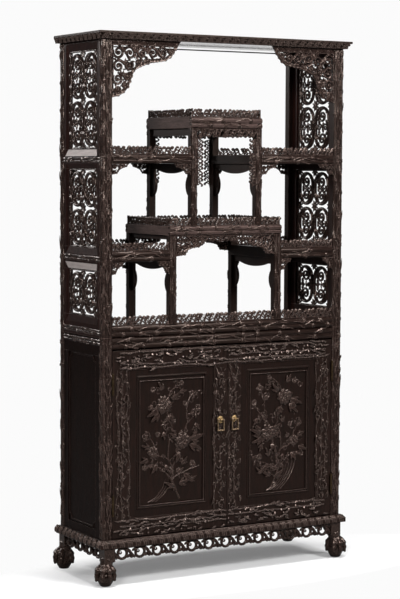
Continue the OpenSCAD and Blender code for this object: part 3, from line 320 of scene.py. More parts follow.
leaf, petal = leaf_shape("leaf", 0.35, 0.12), leaf_shape("petal", 0.7, 0.2)
ball = bmesh.new()
bmesh.ops.create_icosphere(ball, subdivisions=1, radius=0.5)
bud = keep_mesh("bud", ball)
print("leaf", len(leaf.polygons), "petal", len(petal.polygons), "bud", len(bud.polygons), "faces")


# %% Stamping them
def stamp(piece, shape, place):
    """Put a copy of a shape into a piece."""
    copy = shape.copy()
    copy.transform(place)
    piece.from_mesh(copy)
    bpy.data.meshes.remove(copy)


def put_leaf(piece, point, angle, length, width=0.5, lift=0.0, tilt=0.15, shape=leaf, rise=0.4):
    """A leaf that starts at a point of the drawing and lies along an angle, its tip raised by a tilt."""
    stamp(piece, shape, Matrix.Translation((point[0], point[1], lift)) @ Matrix.Rotation(angle, 4, "Z")
          @ Matrix.Rotation(-tilt, 4, "Y") @ Matrix.Diagonal((length, length * width, length * rise, 1)))


def put_bud(piece, point, size, lift=0.0):
    """A round bud."""
    stamp(piece, bud, Matrix.Translation((point[0], point[1], lift)) @ Matrix.Scale(size, 4))


def around(middle, radius, angle):
    """A point at a distance and an angle from a middle."""
    return (middle[0] + radius * math.cos(angle), middle[1] + radius * math.sin(angle))


# %% [markdown]
# ## Standing a drawing on a face
# Every ornament is drawn flat: across, up, and out towards the eye. One matrix per face of the cabinet then
# stands the drawing in its place, so the same vine serves the front, the back and the ends.

# %% Faces of the cabinet
def facing(side, depth, across=0.0, up=0.0):
    """The matrix that stands a drawing on a face; depth is the face's distance from the middle of the cabinet."""
    along, out = {"front": ((1, 0, 0), (0, -1, 0)), "back": ((-1, 0, 0), (0, 1, 0)),
                  "left": ((0, -1, 0), (-1, 0, 0)), "right": ((0, 1, 0), (1, 0, 0))}[side]
    place = Matrix((along, (0, 0, 1), out)).transposed().to_4x4()
    place.translation = Vector(out) * depth
    return place @ Matrix.Translation((across, up, 0))


def stand(piece, drawing, place, thicker=1.0):
    """Stand a drawn bmesh on a face, its depth multiplied, and move it into its piece."""
    bmesh.ops.transform(drawing, verts=drawing.verts, matrix=place @ Matrix.Diagonal((1, 1, thicker, 1)))
    add(piece, drawing)


def plate(outline, push):
    """A flat board: its outline, extruded by a vector."""
    board = bmesh.new()
    face = board.faces.new([board.verts.new(point) for point in outline])
    grown = bmesh.ops.extrude_face_region(board, geom=[face], use_keep_orig=True)["geom"]
    bmesh.ops.translate(board, verts=[v for v in grown if isinstance(v, bmesh.types.BMVert)], vec=push)
    bmesh.ops.recalc_face_normals(board, faces=board.faces)
    return board


# %% A finished piece
def finish_piece(name, bm, finish, body, slot, *nodes):
    """Make the object, give it its finish, and let it ride on a body in place of the nodes named."""
    if bm.calc_volume(signed=True) < 0:
        bmesh.ops.reverse_faces(bm, faces=bm.faces)
    mesh = keep_mesh(name, bm)
    mesh.materials.append(finish)
    mesh.shade_smooth()
    mesh.set_sharp_from_angle(angle=math.radians(55))
    piece = put_in_scene(name, mesh)
    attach(piece, body)
    if nodes:
        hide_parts(*nodes)
    print(name, len(mesh.polygons), "faces")
    return piece


# %% [markdown]
# ## Finishes
# The wood is a dense dark hardwood, oiled and waxed until it is nearly black. Close up it shows a fine figure
# along the grain and a thin pale edge on every arris, and its hollows are darkened with painted shade. Each of these
# effects is a node group, used by all the woods with values of their own. The worn edge comes from a Bevel node, whose
# normal leaves the plain one only near an edge, and the painted shade in the hollows from Ambient Occlusion.

# %% Groups that the finishes share
def group(name, inputs, outputs):
    """An empty shader node group with named sockets, and its two ends."""
    made = bpy.data.node_groups.new(name, "ShaderNodeTree")
    for title, kind in inputs:
        made.interface.new_socket(title, in_out="INPUT", socket_type=kind)
    for title, kind in outputs:
        made.interface.new_socket(title, in_out="OUTPUT", socket_type=kind)
    return made, made.nodes.new("NodeGroupInput"), made.nodes.new("NodeGroupOutput")


figure_group, ins, outs = group("wood_figure", [("Vector", "NodeSocketVector"), ("Streaks", "NodeSocketFloat")],
                                [("Figure", "NodeSocketFloat"), ("Pores", "NodeSocketFloat")])
broad = node(figure_group, "ShaderNodeTexNoise")
broad.inputs["Detail"].default_value, broad.inputs["Distortion"].default_value = 6, 0.6
fine = node(figure_group, "ShaderNodeTexNoise")
fine.inputs["Detail"].default_value = 4
faster = node(figure_group, "ShaderNodeMath", operation="MULTIPLY")
faster.inputs[1].default_value = 7
for texture in (broad, fine):
    link(figure_group, ins.outputs["Vector"], texture.inputs["Vector"])
link(figure_group, ins.outputs["Streaks"], broad.inputs["Scale"])
link(figure_group, ins.outputs["Streaks"], faster.inputs[0])
link(figure_group, faster.outputs[0], fine.inputs["Scale"])
link(figure_group, curve(figure_group, broad.outputs["Fac"], 0.35, 0.68), outs.inputs["Figure"])
link(figure_group, curve(figure_group, fine.outputs["Fac"], 0.3, 0.7), outs.inputs["Pores"])

wear_group, ins, outs = group("edge_wear", [("Radius", "NodeSocketFloat")], [("Worn", "NodeSocketFloat")])
rounded = node(wear_group, "ShaderNodeBevel", samples=4)
plain = node(wear_group, "ShaderNodeNewGeometry")
likeness = node(wear_group, "ShaderNodeVectorMath", operation="DOT_PRODUCT")
link(wear_group, ins.outputs["Radius"], rounded.inputs["Radius"])
link(wear_group, rounded.outputs["Normal"], likeness.inputs[0])
link(wear_group, plain.outputs["Normal"], likeness.inputs[1])
link(wear_group, curve(wear_group, likeness.outputs["Value"], 1.0, 0.86), outs.inputs["Worn"])

# Ambient Occlusion marks the hollows, and the finishes darken them with it as painted shade.
hollow_shade_group, ins, outs = group("hollow_shade", [("Distance", "NodeSocketFloat")], [("Hollow", "NodeSocketFloat")])
shade = node(hollow_shade_group, "ShaderNodeAmbientOcclusion", samples=4)
link(hollow_shade_group, ins.outputs["Distance"], shade.inputs["Distance"])
link(hollow_shade_group, curve(hollow_shade_group, shade.outputs["AO"], 0.75, 0.25), outs.inputs["Hollow"])
print("groups:", ", ".join(g.name for g in bpy.data.node_groups))

# %% [markdown]
# ## The woods
# A wood finish mixes four colours: the ground, the redder figure, the worn edge and the painted shade of the hollows.
# The grain runs with the board, so a Mapping node squeezes the texture across it. Wax leaves a tight gloss, stronger
# on the carving, and the boards have been polished until they mirror the room. Carved woods also get a pale crest
# where Ambient Occlusion finds them open: painted light on the raised parts, together with the rubbing of a duster.

# %% How a wood is mixed
def use_group(tree, made, **values):
    """Place a node group and set its inputs."""
    placed = node(tree, "ShaderNodeGroup", node_tree=made)
    for key, value in values.items():
        placed.inputs[key].default_value = value
    return placed


def blend(tree, share, first, second, amount=1.0):
    """Mix two colours by a share that changes over the surface."""
    mix = node(tree, "ShaderNodeMix", data_type="RGBA", blend_type="MIX")
    if amount != 1.0:
        share = curve(tree, share, 0, 1, 0, amount)
    link(tree, share, mix.inputs[0])
    for colour, socket in ((first, mix.inputs[6]), (second, mix.inputs[7])):
        if isinstance(colour, tuple):
            socket.default_value = (*colour, 1)
        else:
            link(tree, colour, socket)
    return mix.outputs[2]


def darker(colour, share):
    """A share of a colour's brightness."""
    return tuple(c * share for c in colour)


def wood(name, ground, figure, worn, squeeze, gloss, shine, relief=0.12, crest=0.0):
    """A waxed dark wood; squeeze is the texture's scale along X, Y and Z, and crest how pale its open parts are, as
    painted light and rubbing.
    """
    finish = bpy.data.materials.new(name)
    finish.use_nodes = True
    tree = finish.node_tree
    skin = tree.nodes["Principled BSDF"]
    place, grain = node(tree, "ShaderNodeTexCoord"), node(tree, "ShaderNodeMapping")
    grain.inputs["Scale"].default_value = squeeze
    link(tree, place.outputs["Object"], grain.inputs["Vector"])
    streaks = use_group(tree, figure_group, Streaks=14)
    link(tree, grain.outputs["Vector"], streaks.inputs["Vector"])
    edge = use_group(tree, wear_group, Radius=0.0016)
    # Ambient Occlusion finds the hollows: used for painted shade there and to find the open parts.
    hollow = use_group(tree, hollow_shade_group, Distance=0.014)
    colour = blend(tree, streaks.outputs["Figure"], ground, figure)
    colour = blend(tree, streaks.outputs["Pores"], colour, darker(ground, 0.5), 0.5)
    # The pale crest on open parts is painted light, together with the rubbing of a duster.
    if crest:
        open_part = curve(tree, hollow.outputs["Hollow"], 0.12, 0)
        colour = blend(tree, maths(tree, "MULTIPLY", open_part, streaks.outputs["Figure"]), colour, worn, crest)
    colour = blend(tree, edge.outputs["Worn"], colour, worn, 0.55)
    # Painted shade: the hollows are darkened towards a fifth of the ground colour.
    colour = blend(tree, hollow.outputs["Hollow"], colour, darker(ground, 0.2), 0.85)
    link(tree, colour, skin.inputs["Base Color"])
    link(tree, curve(tree, streaks.outputs["Pores"], 0, 1, gloss - 0.07, gloss + 0.1), skin.inputs["Roughness"])
    rough = node(tree, "ShaderNodeBump")
    rough.inputs["Strength"].default_value, rough.inputs["Distance"].default_value = relief, 0.0006
    link(tree, streaks.outputs["Pores"], rough.inputs["Height"])
    link(tree, rough.outputs["Normal"], skin.inputs["Normal"])
    skin.inputs["Specular IOR Level"].default_value = shine
    skin.inputs["Specular Tint"].default_value = (1, 0.78, 0.67, 1)
    return finish


# %% The plain woods
dark, red, pale = (0.0105, 0.0062, 0.005), (0.023, 0.0112, 0.0088), (0.16, 0.11, 0.095)
upright, slow_upright, lengthwise, crosswise = (9, 9, 1.2), (9, 9, 1.0), (1.2, 9, 9), (9, 1.2, 9)
upright_wood = wood("waxed_wood_upright", dark, red, pale, upright, 0.34, 0.24)
lengthwise_wood = wood("waxed_wood_lengthwise", dark, red, pale, lengthwise, 0.34, 0.24)
crosswise_wood = wood("waxed_wood_crosswise", dark, red, pale, crosswise, 0.34, 0.24)
plain_wood = wood("red_wood_upright", (0.0115, 0.0052, 0.0042), (0.034, 0.0118, 0.0092), pale, slow_upright,
                  0.32, 0.12)
end_wood = wood("dark_wood_end", (0.0058, 0.0028, 0.002), (0.0125, 0.005, 0.0036), pale, slow_upright, 0.3, 0.05)
panel_wood = wood("dark_wood_panel", (0.0105, 0.0068, 0.0056), (0.02, 0.0095, 0.0075), pale, slow_upright,
                  0.32, 0.2)
# A much paler copy of the wood for the crown and middle shelf rails: painted light on them.
lit_side_wood = wood("side_wood_painted_light", (0.073, 0.048, 0.042), (0.13, 0.086, 0.077), (0.2, 0.14, 0.12), crosswise,
                 0.5, 0.12)
polished_wood = wood("polished_board", dark, red, pale, lengthwise, 0.1, 1.0, 0.02)
# Pale colour for the splayed edges: a painted highlight.
splay_highlight_wood = wood("splay_painted_highlight", (0.45, 0.39, 0.37), (0.6, 0.525, 0.5), (0.66, 0.585, 0.555), crosswise, 0.5, 0.2)

# %% The carved woods
even = (12, 12, 12)
carved_wood = wood("carved_wood", (0.0088, 0.0046, 0.0036), (0.024, 0.0115, 0.009), (0.25, 0.17, 0.145), even,
                   0.15, 0.6, 0.25, 0.09)
# Mouldings get a paler ground and a strong pale crest: rubbing, and painted light on their raised leaves.
moulding_wood = wood("moulding_rubbed_and_painted_light", (0.018, 0.0104, 0.0083), (0.037, 0.0215, 0.0175), (0.31, 0.23, 0.2), even,
                     0.2, 0.5, 0.25, 0.22)
# A darker copy of the carved wood for the door stiles: painted shade.
shaded_wood = wood("carved_wood_shaded", (0.0055, 0.0029, 0.0023), (0.0165, 0.0078, 0.006), (0.3, 0.21, 0.18), even,
                   0.13, 0.75, 0.25, 0.05)
# A paler copy of the carved wood with a stronger crest, for the door rails: painted highlight, besides the real gloss.
glinting_wood = wood("glinting_wood", (0.0115, 0.0066, 0.0054), (0.034, 0.0185, 0.015), (0.42, 0.32, 0.28), even,
                     0.13, 0.9, 0.25, 0.16)
print("woods: 13")

# %% [markdown]
# ## The brass
# The brass is old: a yellow metal on the round plates that fingers polish, browner on the drop pulls, and tarnished
# nearly as dark as the wood on the hinges. One noise in clouds drives both its colour and its gloss.

# %% The brass finishes
def metal(name, low, high, gloss):
    """An old brass whose polish and tarnish lie in clouds."""
    finish = bpy.data.materials.new(name)
    finish.use_nodes = True
    tree = finish.node_tree
    skin = tree.nodes["Principled BSDF"]
    place, clouds = node(tree, "ShaderNodeTexCoord"), node(tree, "ShaderNodeTexNoise")
    clouds.inputs["Scale"].default_value, clouds.inputs["Detail"].default_value = 160, 5
    link(tree, place.outputs["Object"], clouds.inputs["Vector"])
    # The hollows of the brass are darkened by Ambient Occlusion: painted shade.
    hollow = use_group(tree, hollow_shade_group, Distance=0.004)
    colour = blend(tree, curve(tree, clouds.outputs["Fac"], 0.35, 0.65), low, high)
    colour = blend(tree, hollow.outputs["Hollow"], colour, darker(low, 0.12), 0.85)
    link(tree, colour, skin.inputs["Base Color"])
    link(tree, curve(tree, clouds.outputs["Fac"], 0.3, 0.7, gloss, gloss + 0.2), skin.inputs["Roughness"])
    skin.inputs["Metallic"].default_value = 1.0
    return finish


plate_brass = metal("dull_brass", (0.3, 0.19, 0.085), (0.55, 0.4, 0.21), 0.3)
hinge_brass = metal("tarnished_brass", (0.045, 0.031, 0.018), (0.1, 0.066, 0.035), 0.42)
pull_brass = metal("worn_brass", (0.19, 0.125, 0.075), (0.38, 0.27, 0.175), 0.36)
print("brasses: 3")

# %% [markdown]
# ## The joiner's parts
# The plain boards, posts, frames and doors come straight from the CAD. They only need their finish and a
# broken arris: Weld joins the loose triangles, a planar Decimate clears the flats and Bevel rounds the edges.

# %% Dressing the CAD parts
def dress(finish, *names, arris=0.0008):
    """Give CAD parts a finish and slightly rounded edges."""
    for name in names:
        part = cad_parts[name]
        for held in part.material_slots:
            held.material = finish
        if not arris:
            continue
        part.modifiers.new("joined", "WELD").merge_threshold = 0.00001
        flats = part.modifiers.new("flats", "DECIMATE")
        flats.decimate_type, flats.angle_limit = "DISSOLVE", math.radians(0.5)
        edge = part.modifiers.new("arris", "BEVEL")
        edge.width, edge.segments, edge.limit_method, edge.angle_limit = arris, 2, "ANGLE", math.radians(35)
        edge.harden_normals = True
    print("dressed:", ", ".join(names))


dress(upright_wood, "upper_front_posts", "upper_back_posts", "lower_posts", "high_inner_posts",
      "low_inner_posts", "cupboard_back", "left_door_frame", "right_door_frame")
dress(plain_wood, "left_end_frame", "right_end_frame")
dress(end_wood, "cupboard_ends", "cupboard_end_panels")
dress(panel_wood, "left_door_panel", "right_door_panel")
dress(lengthwise_wood, "high_side_rails", "low_side_rails", "base_rails", "head_rail", "door_stop",
      "cupboard_top", "cupboard_floor", "cupboard_shelf", "plinth", "cornice")
# The shelf rails take the paler copy: painted light.
dress(lit_side_wood, "crown_rails", "mid_rails")
dress(crosswise_wood, "high_dividers", "low_dividers", "shelf_bearers")
dress(polished_wood, "top_board", "crown_shelf", "mid_shelf", "high_side_shelves", "low_side_shelves", "base_board")
dress(hinge_brass, "case_hinges", "left_door_hinges", "right_door_hinges", arris=0)
dress(pull_brass, "left_pull", "right_pull", arris=0)
dress(plate_brass, "left_pull_plate", "right_pull_plate", arris=0)

# %% [markdown]
# ## Reeds cut as bamboo
# Posts and rails are carved as bundles of bamboo. Each reed has knots at uneven steps: two small rings with a
# waist between them, and often a budding leaf. The carved reeds lie half a millimetre proud of the CAD's
# plain ones and hide them. Thin twigs cross from reed to reed, so that no two stretches look alike.

# %% A reed with knots
knot_shifts = (-0.009, -0.0035, 0, 0.0035, 0.009)


def on_band(low, along, across, stands, lift=0.0):
    """A point of a band that stands or lies, measured along and across it from its lower left corner."""
    return (low[0] + across, low[1] + along, lift) if stands else (low[0] + along, low[1] + across, lift)


def reed(piece, start, end, radius, lift, step=(0.06, 0.14)):
    """A reed in a drawing, from start to end, with its middle raised by lift."""
    start, end = Vector((*start[:2], lift)), Vector((*end[:2], lift))
    along = end - start
    length = along.length
    side = Vector((-along.y, along.x, 0)).normalized()
    angle = math.atan2(along.y, along.x)
    path, radii, place = [start], [radius], chance.uniform(0.012, step[1])
    while place < length - 0.012:
        off = side * chance.uniform(-0.0004, 0.0004)
        high = chance.uniform(1.14, 1.3)
        for shift, swell in zip(knot_shifts, (0.96, high, 1.05, high, 0.96)):
            path.append(start + along * ((place + shift) / length) + off)
            radii.append(radius * swell)
        if chance.random() < 0.75:
            way = angle + chance.choice((0, math.pi)) + chance.uniform(-0.5, 0.5)
            put_leaf(piece, path[-3], way, chance.uniform(0.012, 0.02), 0.42, lift + radius * 0.9, 0.1)
        if chance.random() < 0.5:
            put_bud(piece, path[-3], radius * 1.3, lift + radius * 0.8)
        place += chance.uniform(*step)
    path.append(end)
    radii.append(radius)
    stem(piece, path, radii, 8)


# %% A bundle of reeds
def reeds(piece, side, depth, low, high, count, stands, sunk=1.0):
    """A bundle of reeds that fills a band between two corners of a face; sunk is how much of a radius lies in it."""
    drawing = bmesh.new()
    length, wide = (high[1] - low[1], high[0] - low[0]) if stands else (high[0] - low[0], high[1] - low[1])
    radius = wide / (2 * count) * 1.08
    for i in range(count):
        across = radius + i * (wide - 2 * radius) / (count - 1)
        reed(drawing, on_band(low, 0, across, stands), on_band(low, length, across, stands), radius + 0.0006,
             -radius * sunk)
    lift = radius * (1 - sunk) + 0.0004
    for _ in range(int(count * length / 0.045)):
        foot, across = chance.uniform(0.01, length - 0.06), chance.uniform(0.2, 0.8) * wide
        lean, run = chance.uniform(-0.45, 0.45) * wide, chance.uniform(0.025, 0.055)
        twig = [on_band(low, foot + run * t, min(max(across + lean * t, 0.002), wide - 0.002), stands, lift)
                for t in (0, 0.35, 0.7, 1)]
        stem(drawing, twig, [0.0013, 0.0021, 0.0018, 0.0008])
        if chance.random() < 0.3:
            put_bud(drawing, twig[1], 0.005, lift + 0.001)
    stand(piece, drawing, facing(side, depth))


def either_side(s, inner, outer):
    """A stretch on the left (s is -1) or on the right (s is 1), its lower end first."""
    return sorted((s * inner, s * outer))


# %% Corner posts and inner posts
posts = bmesh.new()
for s in (-1, 1):
    (x0, x1), (y0, y1) = either_side(s, inner_x, half_width), either_side(s, inner_y, half_depth)
    for low, high in ((joint_z, post_top), (plinth_z, joint_z)):
        reeds(posts, "front", half_depth, (x0, low), (x1, high), 3, True)
        for side in ends:
            reeds(posts, side, half_width, (y0, low), (y1, high), 2, True, 0.75)
finish_piece("corner_post_reeds", posts, carved_wood, "case", "carved_hardwood")
sticks = bmesh.new()
for side in ("front", "back"):
    for s in (-1, 1):
        for inner, outer, low, high in ((arch_x, crown_x, mid_z, crown_under), (bay_x, mid_x, base_z, mid_under)):
            x0, x1 = either_side(s, inner, outer)
            reeds(sticks, side, half_depth, (x0, low), (x1, high), 2, True)
finish_piece("inner_post_reeds", sticks, carved_wood, "case", "plain_hardwood")

# %% Shelf rails, head rail and end rails
shelf_rails = ((-crown_x, crown_x, crown_under, crown_z), (-mid_x, mid_x, mid_under, mid_z),
               (-inner_x, -crown_x, high_under, high_z), (crown_x, inner_x, high_under, high_z),
               (-inner_x, -mid_x, low_under, low_z), (mid_x, inner_x, low_under, low_z),
               (-inner_x, inner_x, joint_z, base_z))
head_under, end_rail_feet, end_rail_tall = 0.880, (1.569, 1.203, 0.932, 0.895), 0.025
rails = bmesh.new()
for side in ("front", "back"):
    for x0, x1, z0, z1 in shelf_rails:
        reeds(rails, side, half_depth, (x0, z0), (x1, z1), 2, False)
reeds(rails, "front", half_depth, (-inner_x, head_under), (inner_x, joint_z), 2, False)
for side in ends:
    for z in end_rail_feet:
        reeds(rails, side, half_width, (-inner_y, z), (inner_y, z + end_rail_tall), 2, False)
finish_piece("rail_reeds", rails, carved_wood, "case", "carved_hardwood")

# %% [markdown]
# ## The back rail under the top
# The photograph shows the back rail as one thin dark line under the top. It keeps its full height at its ends, where
# it meets the posts, and is cut away to a thin strip between them.

# %% The back rail
rail_foot, rail_tall, strip_tall, rail_y, rail_thick = 2.017, 0.011, 0.0036, 0.1557, 0.0196
half_outline = [(inner_x, 0), (inner_x, rail_tall), (0.482, rail_tall), (0.474, strip_tall)]
outline = half_outline + [(-x, z) for x, z in reversed(half_outline)]
back_rail = plate([(x, rail_y, rail_foot + z) for x, z in outline], (0, rail_thick, 0))
finish_piece("back_top_rail", back_rail, lengthwise_wood, "case", "plain_hardwood", "top_rails")

# %% [markdown]
# ## Galleries
# A low pierced fence of scrolling vine stands on every shelf edge. One stretch of vine is drawn in six versions: a
# wavy stem low down, three leaning stalks that curl over in a round crest, and leaves and buds between them. The
# stretches are then set side by side and stretched a little to fit each run. Six are enough that the eye finds no
# repeat.

# %% One stretch of vine
def vine_stretch(name, width, height, thick):
    """A stretch of vine from 0 to width, standing on its foot, as a mesh to stamp."""
    bm = bmesh.new()
    wave = [(width * t / 12, height * (0.26 + 0.12 * math.sin(math.tau * t / 6)), 0) for t in range(13)]
    stem(bm, wave, thick * 0.7)
    foot = 0.0
    for _ in range(3):
        lean, crown = chance.uniform(0.12, 0.26) * width, chance.uniform(0.15, 0.22) * height
        hub = (foot + lean + crown, height * chance.uniform(0.93, 0.99) - crown - thick)
        stalk = [(foot, 0.03 * height, 0), (foot + 0.2 * lean, 0.26 * height, 0),
                 (foot + 0.6 * lean, 0.52 * height, 0)]
        stem(bm, stalk + curl(hub, math.radians(185), crown, crown * 0.3, -0.72, 9),
             [thick * r for r in (0.8, 0.95, 1.15, 1.2, 1.15, 1.1, 1.0, 0.9, 0.85, 0.75, 0.65, 0.6)])
        side = chance.choice((-1, 1))
        put_leaf(bm, (foot + 0.3 * lean, 0.3 * height), math.radians(90 - side * chance.uniform(25, 60)),
                 chance.uniform(0.3, 0.4) * height, 0.55, 0.0008)
        put_bud(bm, (hub[0] + crown * 0.1, hub[1]), thick * 1.9)
        put_leaf(bm, (foot + 0.7 * lean, 0.66 * height), math.radians(chance.uniform(-50, 0)), 0.3 * height, 0.6,
                 0.001)
        if chance.random() < 0.5:
            stem(bm, [(foot + 0.3 * width, 0.04 * height, 0), (foot + 0.24 * width, 0.34 * height, 0.0005),
                      (foot + 0.1 * width, 0.5 * height, 0.0005)], [thick * r for r in (0.75, 0.8, 0.5)])
        foot += chance.uniform(0.27, 0.36) * width
    return keep_mesh(name, bm)


stretches = [vine_stretch("vine_" + letter, 0.05, 0.035, 0.0029) for letter in "abcdef"]
stretch_long, stretch_high = 0.0515, 0.036
print("vine stretches:", len(stretches))


# %% A run of vine
def vine_run(piece, place, length, height, bar=0.0024, closed=True, pitch=0.05):
    """Set stretches of vine side by side, with a foot bar and small end posts; place stands the drawing."""
    drawing = bmesh.new()
    count = max(1, round(length / pitch))
    for i in range(count):
        fit = Matrix.Translation((i * length / count, 0, 0)) @ Matrix.Diagonal(
            (length / count / stretch_long, height / stretch_high, 1, 1))
        stamp(drawing, chance.choice(stretches), fit)
    stem(drawing, [(0, bar * 0.8, 0), (length, bar * 0.8, 0)], bar)
    if closed:
        for u in (bar, length - bar):
            stem(drawing, [(u, 0, 0), (u, height * 0.9, 0)], bar)
    stand(piece, drawing, place, 1.3)


def gallery(name, runs, node_name):
    """All stretches of one gallery: side, depth, start, end, foot and height of each."""
    bm = bmesh.new()
    for side, depth, start, end, foot, height in runs:
        vine_run(bm, facing(side, depth, start, foot), end - start, height, pitch=0.062 if height > 0.04 else 0.054)
    finish_piece(name, bm, carved_wood, "case", "carved_hardwood", node_name)


# %% The galleries of all shelves
gallery_y, gallery_end, fence, low_fence = 0.169, 0.1643, 0.036, 0.042
crown_end, crown_side, mid_end, mid_side = 0.153, 0.1485, 0.245, 0.2405
gallery("crown_vines", [(side, gallery_y, -crown_end, crown_end, crown_z, fence) for side in ("front", "back")]
        + [(side, crown_side, -gallery_end, gallery_end, crown_z, fence) for side in ends], "crown_gallery")
gallery("mid_vines", [(side, gallery_y, a, b, mid_z, fence) for side in ("front", "back")
                      for a, b in ((-arch_x, arch_x), (-mid_end, -crown_x), (crown_x, mid_end))]
        + [(side, mid_side, -gallery_end, gallery_end, mid_z, fence) for side in ends], "mid_gallery")
gallery("side_vines", [(side, gallery_y, a, b, z, fence) for side in ("front", "back")
                       for z, x in ((high_z, crown_x), (low_z, mid_x)) for a, b in ((-inner_x, -x), (x, inner_x))],
        "side_galleries")
gallery("base_vines", [("front", gallery_y, a, b, base_z, low_fence)
                       for a, b in ((-bay_x, bay_x), (-inner_x, -mid_x), (mid_x, inner_x))], "base_gallery")

# %% [markdown]
# ## Fretwork ends
# Each end has three fretwork panels. A cell is an oval ring that holds two curling scrolls, small curls between
# them and leaf ties, and knots of eight leaves sit where the cells meet. The cells are drawn at the size of their
# opening, so the rings stay even.

# %% One cell of fretwork
def ring(middle, wide, tall, count=28):
    """The closed path of a ring shaped like a racecourse, run past its start so that it has no seam."""
    points = []
    for i in range(count + 2):
        angle = math.tau * i / count
        rise = (tall - wide) * (1 if math.sin(angle) > 0 else -1)
        points.append((middle[0] + wide * math.cos(angle),
                       middle[1] + wide * math.sin(angle) + rise * min(1, abs(math.sin(angle)) * 3), 0))
    return points


def fret_cell(piece, middle, wide, tall):
    """Draw a cell about its middle."""
    u, v = middle
    a, b = wide / 2 - 0.0085, tall / 2 - 0.0085
    stem(piece, ring(middle, a, b), 0.0058, 8)
    size, way = a * 0.64, chance.choice((-1, 1))
    for s in (-1, 1):
        hub = (u, v + s * (b - size - 0.004))
        stem(piece, curl(hub, s * math.pi / 2, size, 0.0045, way * 1.6, 20), taper(0.0056, 0.0034, 20), 8)
        put_bud(piece, hub, 0.0085)
        for t in (-1, 1):
            put_leaf(piece, (hub[0] + t * size * 0.8, hub[1] - s * size * 0.5), -s * 1.25 + (t < 0) * s * -0.64,
                     size * 0.95, 0.55)
            put_leaf(piece, (hub[0] + t * size * 0.75, hub[1] + s * size * 0.35), s * (1.57 - t * 0.75),
                     size * 0.66, 0.6)
            put_leaf(piece, (u + t * a * 0.95, v + s * b * 0.3), s * (1.57 + t * 0.35), size * 0.9, 0.45, 0.001)
        put_leaf(piece, (u + s * (a + 0.009), v - 0.014), math.pi / 2, 0.028, 0.55)
        put_leaf(piece, (u + s * (a + 0.008), v + 0.3 * b), math.pi / 2, 0.024, 0.5)
        put_leaf(piece, (u + s * (a + 0.008), v - 0.3 * b), -math.pi / 2, 0.024, 0.5)
    gap = b - 2 * size - 0.004
    for s in (-1, 1):
        if gap > 0.008:
            stem(piece, curl((u + s * a * 0.46, v), math.pi * (s > 0), min(gap, a * 0.4), 0.003, s * way * 1.3, 14),
                 taper(0.0044, 0.0028, 14), 8)
            put_leaf(piece, (u, v), s * math.pi / 2, gap + 0.006, 0.6)
        else:
            put_leaf(piece, (u - s * 0.014, v), 0 if s > 0 else math.pi, 0.03, 0.6)
    put_bud(piece, middle, 0.0085, 0.002)


# %% The six fretwork panels
fret_x, fret_half, bead, bead_in = 0.5195, 0.1145, 0.006, 0.003
fret_levels = (("high", 1.622, 1.988, 2), ("mid", 1.255, 1.549, 2), ("low", 0.998, 1.171, 1))


def fret(name, side, low, high, rows, node_name):
    """A fretwork panel between two levels: its bead, its cells and its knots."""
    drawing = bmesh.new()
    wide, tall = fret_half - bead, (high - low - 2 * bead) / rows
    for s in (-1, 1):
        stem(drawing, [(s * (fret_half - bead_in), low, 0), (s * (fret_half - bead_in), high, 0)], 0.0034, 8)
        edge = low + bead_in if s < 0 else high - bead_in
        stem(drawing, [(-fret_half, edge, 0), (fret_half, edge, 0)], 0.0034, 8)
        for k in range(rows):
            fret_cell(drawing, (s * wide / 2, low + bead + (k + 0.5) * tall), wide, tall)
    for i in (-1, 0, 1):
        for k in range(rows + 1):
            knot = (i * wide, low + bead + k * tall)
            put_bud(drawing, knot, 0.012, 0.001)
            for angle in (math.tau * (a + 0.5) / 8 for a in range(8)):
                tip = around(knot, 0.02, angle)
                if abs(tip[0]) < fret_half and low < tip[1] < high:
                    put_leaf(drawing, knot, angle, 0.0255, 0.42, 0.0)
    bm = bmesh.new()
    stand(bm, drawing, facing(side, fret_x), 1.25)
    finish_piece(name, bm, carved_wood, "case", "carved_hardwood", node_name)


for side in ends:
    for level, low, high, rows in fret_levels:
        fret(f"{side}_{level}_scrolls", side, low, high, rows, f"{side}_{level}_fret")

# %% [markdown]
# ## Pale boards on the splayed edges
# The frames of the ends are splayed round their openings. Two of these edges on each end catch the light, and that
# light is painted: each gets a thin pale board on its slope, a fraction of a millimetre proud, as a painted highlight.

# %% Pale boards
splay_x, splay_out, splay_wide = 0.5255, 0.007, 0.016
from_edge, to_edge, proud, board_thick = 0.0006, 0.0068, 0.0002, 0.0009
# Thin pale boards that carry the painted highlight.
bm = bmesh.new()
for s in (-1, 1):
    for inner_z, outer_z in ((1.622, 1.595), (1.171, 1.198)):
        corners = [(s * (splay_x + out + proud), end * (fret_half + splay_wide * out / splay_out),
                    inner_z + (outer_z - inner_z) * out / splay_out)
                   for out, end in ((from_edge, -1), (from_edge, 1), (to_edge, 1), (to_edge, -1))]
        add(bm, plate(corners, (s * board_thick, 0, 0)))
finish_piece("splay_highlight_boards", bm, splay_highlight_wood, "case", "plain_hardwood")

# %% [markdown]
# ## Spandrels, brackets and aprons
# The corners under the top and under the shelves are pierced leafwork. It is drawn as volutes that touch one
# another, each with a bud at its heart and leaves on its back. A stem with small leaves and scallops follows the
# lobed free edge, and two bars close the drawing towards the shelf and the post. All places are shares of the
# board's width and height, measured from its upper corner, so one set of shares can serve many sizes.

